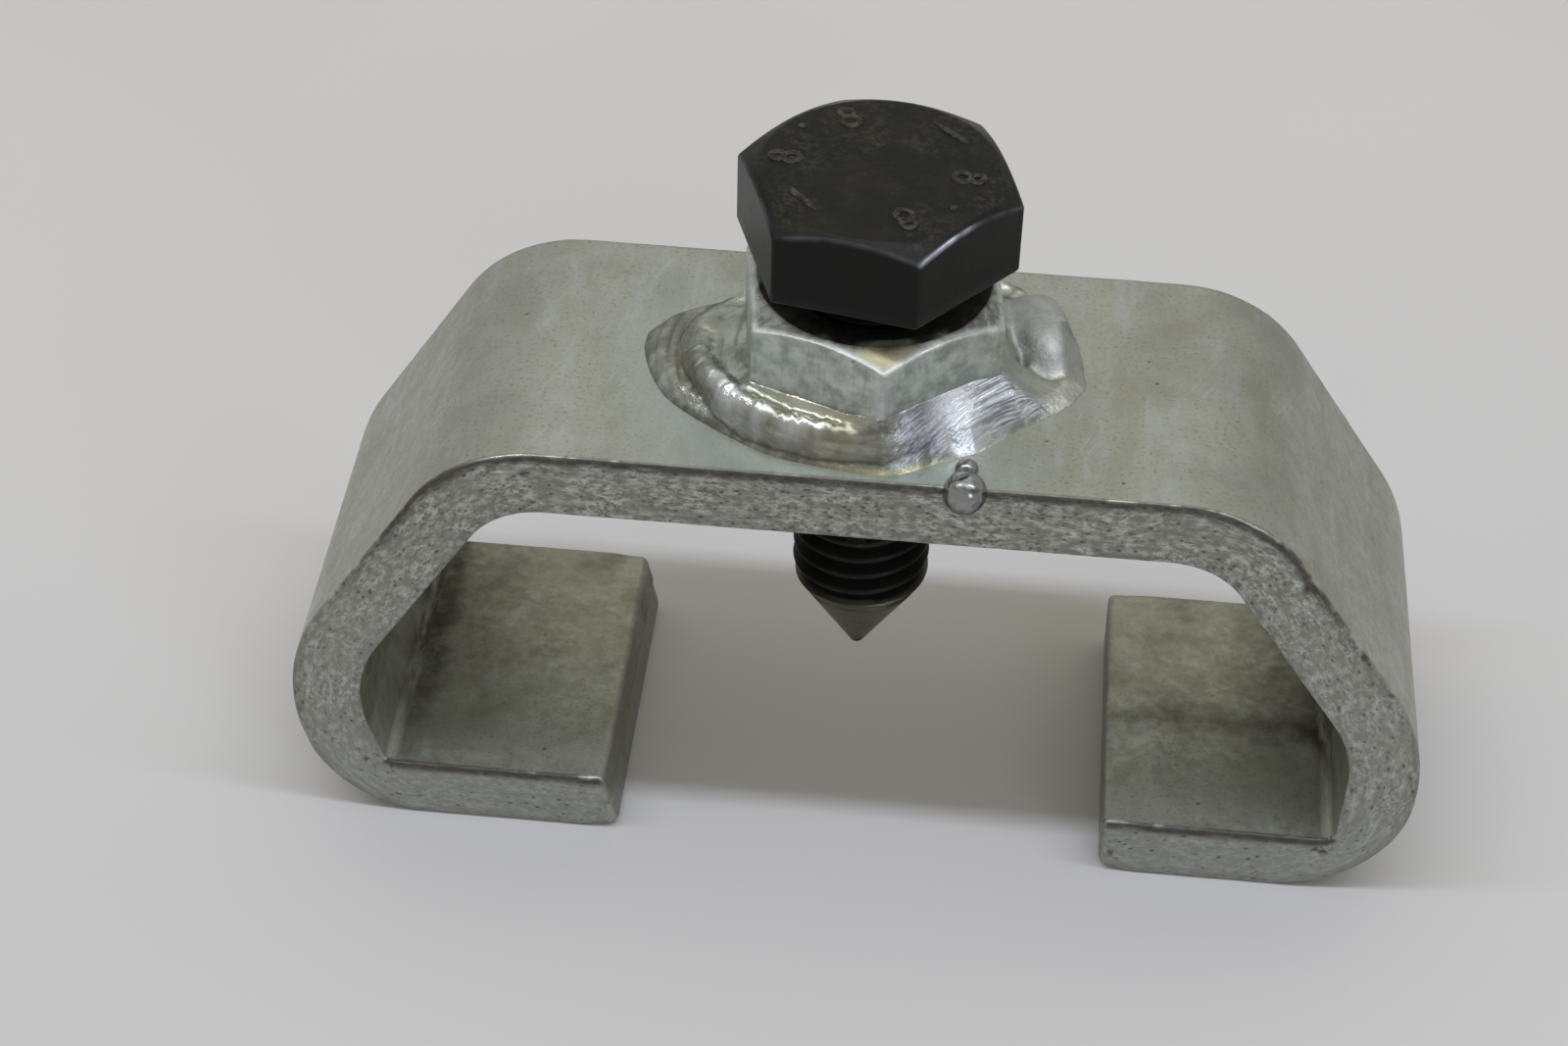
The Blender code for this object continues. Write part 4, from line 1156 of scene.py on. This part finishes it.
def weld_finish(colours):
    """Shiny weld metal: brown heat tint, yellow toe, scratched ground patch, dull dome and fan, with painted
    highlights on the bead and the patch and painted shade in its hollows.
    """
    weld = Finish("weld_bead")
    ground, brown, yellow = weld.channels("wear")
    dome, highlight, fan = weld.channels("form")
    mottle = weld.share(weld.noise(0.55, 4, 0.6), 0.34, 0.66)
    tint = weld.mix(weld.share(weld.noise(0.35, 3), 0.4, 0.6), colours.weld_brown, (0.16, 0.152, 0.135))
    flow = weld.noise(1.0, 4, 0.6, weld.stretched((9.0, 0.6, 1.0), 0.0, weld.attribute("flow", "Vector")))
    scratches = weld.noise(1.5, 4, 0.7, weld.stretched((6.0, 0.14, 1.0), math.radians(45)))
    scratched = weld.mix(weld.share(scratches, 0.38, 0.60), (0.25, 0.26, 0.32), (0.90, 0.94, 1.0))
    base = weld.layers(
        (0.245, 0.265, 0.225),
        (mottle, colours.weld_bright),
        (weld.share(weld.noise(0.45, 3), 0.5, 0.7, 0.5), (0.43, 0.44, 0.345)),
        (weld.share(flow, 0.50, 0.66, 0.55), (0.145, 0.15, 0.115)),
        (weld.times(brown, weld.spread(flow, 0.34, 0.6, 0.38, 0.86)), tint),
        (weld.times(yellow, 0.75), (0.72, 0.67, 0.40)),
        (ground, scratched),
        (weld.times(weld.times(brown, ground), 0.85), (0.155, 0.14, 0.165)),
        (weld.times(dome, 0.75), (0.39, 0.40, 0.395)),
        # painted highlights
        (weld.times(highlight, 0.75), (0.90, 0.93, 0.98)),
        (weld.times(fan, 0.7), (0.40, 0.41, 0.365)),
        # painted shade in the hollows
        (weld.times(weld.attribute("crevice_shade"), 0.8), (0.075, 0.068, 0.05)))
    roughness = weld.towards(ground, weld.spread(mottle, 0, 1, 0.36, 0.20), 0.20)
    roughness = weld.towards(dome, roughness, 0.54)
    roughness = weld.towards(weld.times(highlight, 0.8), roughness, 0.15)
    roughness = weld.plus(roughness, weld.times(fan, 0.16))
    grain = weld.bump(weld.noise(1.2, 5, 0.62), 0.00014, 0.8)
    grain = weld.bump(flow, 0.00004, 0.6, grain)
    return weld.finish(base, roughness, weld.bump(weld.mix(ground, (0.5,) * 3, scratches), 0.00007, 0.9, grain))


class PULLER_OT_weld(bpy.types.Operator):
    """Lays the weld round the nut: two-lobed bead, ground patch, flat fan and round blob"""

    bl_idname = "puller.weld"
    bl_label = "Weld"

    def execute(self, context):
        hardware = settings("puller_hardware")
        ground_level = BAR_BOX[1].z

        def nut_wall(angle):
            return hexagon_radius(angle - hardware.nut_turn + HALF_SIDE, hardware.across_flats, NUT_CORNER)

        def put(i, angle):
            wall = nut_wall(angle) - 0.0002
            share = min(max(i - 1, 0) / (RINGS - 3), 1.0)
            radius = wall + (float(round_table(TOE, angle)) - wall) * share
            level = ground_level - (0.0001 if i in (0, RINGS - 1) else 0)
            return Vector((radius * math.cos(angle), radius * math.sin(angle), level))

        bm = ring_body(RINGS, SEGMENTS, put)
        x, y, _ = np.array([vert.co for vert in bm.verts]).T
        walls = np.array([nut_wall(angle) for angle in np.arctan2(y, x)])
        height, masks = weld_height(x, y, walls, settings("puller_weld"))
        number = bm.verts.layers.int["number"]
        for vert, rise in zip(bm.verts, height):
            vert.co.z = ground_level + (rise - 0.00004 if 0 < vert[number] < RINGS - 1 else -0.0001)
        piece = new_piece("weld_bead", bm, weld_finish(settings("puller_finish")), "yoke", "weld_bead",
                          "weld_front_run", "weld_right_run", "weld_back_run")
        for name, values in masks.items():
            paint(piece, name, values)
        x, y, z = coordinates(piece.data).T
        turn = (np.arctan2(y, x) - math.pi / 2) % math.tau
        paint(piece, "flow", np.column_stack([turn * 12, np.hypot(x, y) / MM, z / MM]), "FLOAT_VECTOR")
        return {"FINISHED"}


def drop(radius, centre, squeeze, seed):
    """A drop of spatter: a sphere with a soft unevenness, a little flattened."""
    bm = bmesh.new()
    bmesh.ops.create_icosphere(bm, subdivisions=5, radius=radius)
    for vert in bm.verts:
        vert.co *= 1 - 0.035 * abs(noise.noise(vert.co / (radius * 1.3) + Vector((seed, 0, 0))))
    bmesh.ops.scale(bm, vec=(1, 1, squeeze), verts=bm.verts)
    bmesh.ops.translate(bm, vec=centre, verts=bm.verts)
    return bm


def spatter_finish():
    """A bright smooth bead of metal with a thin smoky skin."""
    metal = Finish("spatter_metal")
    smoke = metal.share(metal.noise(0.7, 4, 0.6), 0.4, 0.62)
    base = metal.mix(smoke, (0.10, 0.102, 0.105), (0.33, 0.33, 0.325))
    grain = metal.bump(metal.noise(2.4, 4, 0.6), 0.00003, 0.6)
    return metal.finish(base, metal.spread(smoke, 0, 1, 0.30, 0.16), grain)


class PULLER_OT_spatter(bpy.types.Operator):
    """Sets the two drops of spatter on the front top edge"""

    bl_idname = "puller.spatter"
    bl_label = "Spatter"

    def execute(self, context):
        sizes = settings("puller_weld")
        edge = Vector((sizes.spatter_x, BAR_BOX[0].y, BAR_BOX[1].z))
        finish = spatter_finish()
        large = drop(sizes.drop_radius, edge + Vector((0, 0, -0.0002)), 1.0, 2.0)
        new_piece("spatter_drop", large, finish, "yoke", "weld_bead", "weld_spatter")
        beside = edge + Vector((0, 0.00165, 0.00045))
        new_piece("spatter_bead", drop(sizes.small_drop_radius, beside, 0.95, 5.0), finish, "yoke", "weld_bead")
        return {"FINISHED"}


# The stage

FLOOR_HALF_SIZE = 3.0
SENSOR_WIDTH = 36
CEILING_PLACE, CEILING_SIZE = (-0.12, 0.3, 1.3), (2.2, 1.3)
WINDOW_PLACE, WINDOW_AIM, WINDOW_SIZE = (0.55, -0.75, 0.42), (0, 0, 0.02), (0.3, 0.3)
WARM, COOL, DAYLIGHT, PALE = (1.0, 0.96, 0.78), (0.86, 0.90, 1.0), (0.78, 0.86, 1.0), (0.52, 0.52, 0.505)
CAMERA_PLACE = Vector((0.00753, -0.17217, 0.17078))
CAMERA_TURN = tuple(math.radians(angle) for angle in (4.38, 40.97, 1.69))


def camera_matrix():
    """The camera's place and turn, from its bearing, its dip and its roll."""
    bearing, dip, roll = CAMERA_TURN
    ahead = Vector((-math.sin(bearing) * math.cos(dip), math.cos(bearing) * math.cos(dip), -math.sin(dip)))
    level = Vector((math.cos(bearing), math.sin(bearing), 0))
    upright = level.cross(ahead)
    right = math.cos(roll) * level + math.sin(roll) * upright
    up = math.cos(roll) * upright - math.sin(roll) * level
    matrix = Matrix((right, up, -ahead)).transposed().to_4x4()
    matrix.translation = CAMERA_PLACE
    return matrix


def area_lamp(name, place, target, size, power, tint):
    """A rectangular lamp that looks at a point."""
    lamp = bpy.data.lights.new(name, "AREA")
    lamp.shape = "RECTANGLE"
    lamp.size, lamp.size_y = size
    lamp.energy = power
    lamp.color = tint
    holder = bpy.data.objects.new(name, lamp)
    holder.location = place
    holder.rotation_euler = (Vector(target) - Vector(place)).to_track_quat("-Z", "Y").to_euler()
    bpy.context.scene.collection.objects.link(holder)


def floor_finish(colours):
    """Pale matt paper."""
    paper = Finish("pale_floor", metallic=0.0)
    base = paper.mix(paper.share(paper.noise(0.012, 2), 0.3, 0.7), colours.floor, (0.546, 0.541, 0.570))
    paper.shader.inputs["Specular IOR Level"].default_value = 0.2
    return paper.finish(base, 0.85)


def room_light(level):
    """Even light from the room, a little warm; the camera sees a pale background instead."""
    world = bpy.data.worlds.new("room")
    world.use_nodes = True
    tree = world.node_tree
    room = tree.nodes["Background"]
    seen, path, either, mixed = (tree.nodes.new("ShaderNode" + kind)
                                 for kind in ("Background", "LightPath", "Math", "MixShader"))
    either.operation = "MAXIMUM"
    for node, tint, strength in ((room, WARM, level), (seen, PALE, 1.0)):
        node.inputs["Color"].default_value = (*tint, 1)
        node.inputs["Strength"].default_value = strength
    for output, socket in ((path.outputs["Is Camera Ray"], either.inputs[0]),
                           (path.outputs["Is Glossy Ray"], either.inputs[1]),
                           (either.outputs[0], mixed.inputs["Fac"]), (room.outputs[0], mixed.inputs[1]),
                           (seen.outputs[0], mixed.inputs[2]),
                           (mixed.outputs[0], tree.nodes["World Output"].inputs["Surface"])):
        tree.links.new(output, socket)
    bpy.context.scene.world = world


class PULLER_OT_stage(bpy.types.Operator):
    """Sets the floor, the lamps, the room's light and the camera"""

    bl_idname = "puller.stage"
    bl_label = "Stage"

    def execute(self, context):
        stage = settings("puller_stage")
        scene = context.scene
        bm = bmesh.new()
        bmesh.ops.create_grid(bm, x_segments=2, y_segments=2, size=FLOOR_HALF_SIZE)
        mesh = bpy.data.meshes.new("floor")
        bm.to_mesh(mesh)
        bm.free()
        mesh.materials.append(floor_finish(settings("puller_finish")))
        floor = bpy.data.objects.new("floor", mesh)
        scene.collection.objects.link(floor)

        height = stage.tube_height
        area_lamp("tube", (0, -0.15 * height, height), (0, 0, 0), (stage.tube_length, stage.tube_width),
                  stage.tube_power, COOL)
        area_lamp("ceiling", CEILING_PLACE, (0, 0, 0), CEILING_SIZE, stage.ceiling_power, WARM)
        area_lamp("window", WINDOW_PLACE, WINDOW_AIM, WINDOW_SIZE, stage.window_power, DAYLIGHT)
        room_light(stage.room_level)

        camera = bpy.data.cameras.new("camera")
        camera.lens = stage.lens
        camera.sensor_width = SENSOR_WIDTH
        camera.clip_start = 0.01
        holder = bpy.data.objects.new("camera", camera)
        holder.matrix_world = camera_matrix()
        scene.collection.objects.link(holder)
        scene.camera = holder
        scene.view_settings.view_transform = "Standard"
        return {"FINISHED"}


OPERATORS = (PULLER_OT_bar, PULLER_OT_nut, PULLER_OT_bolt, PULLER_OT_weld, PULLER_OT_spatter, PULLER_OT_stage)


class PULLER_PT_panel(bpy.types.Panel):
    """Lists the puller's pieces, sizes and finishes in the sidebar"""

    bl_idname = "PULLER_PT_panel"
    bl_label = "Sprocket puller"
    bl_space_type = "VIEW_3D"
    bl_region_type = "UI"
    bl_category = "Puller"

    def draw(self, context):
        for operator in OPERATORS:
            self.layout.operator(operator.bl_idname)
        for name, group in GROUPS.items():
            box = self.layout.box()
            for key in group.__annotations__:
                box.prop(getattr(context.scene, name), key)


def register():
    for cls in (*GROUPS.values(), *OPERATORS, PULLER_PT_panel):
        bpy.utils.register_class(cls)
    for name, group in GROUPS.items():
        setattr(bpy.types.Scene, name, PointerProperty(type=group))


def unregister():
    for name in GROUPS:
        delattr(bpy.types.Scene, name)
    for cls in reversed((*GROUPS.values(), *OPERATORS, PULLER_PT_panel)):
        bpy.utils.unregister_class(cls)


def main():
    """Builds every piece and the stage."""
    register()
    for build in (bpy.ops.puller.bar, bpy.ops.puller.nut, bpy.ops.puller.bolt, bpy.ops.puller.weld,
                  bpy.ops.puller.spatter, bpy.ops.puller.stage):
        build()


if __name__ == "__main__":
    main()
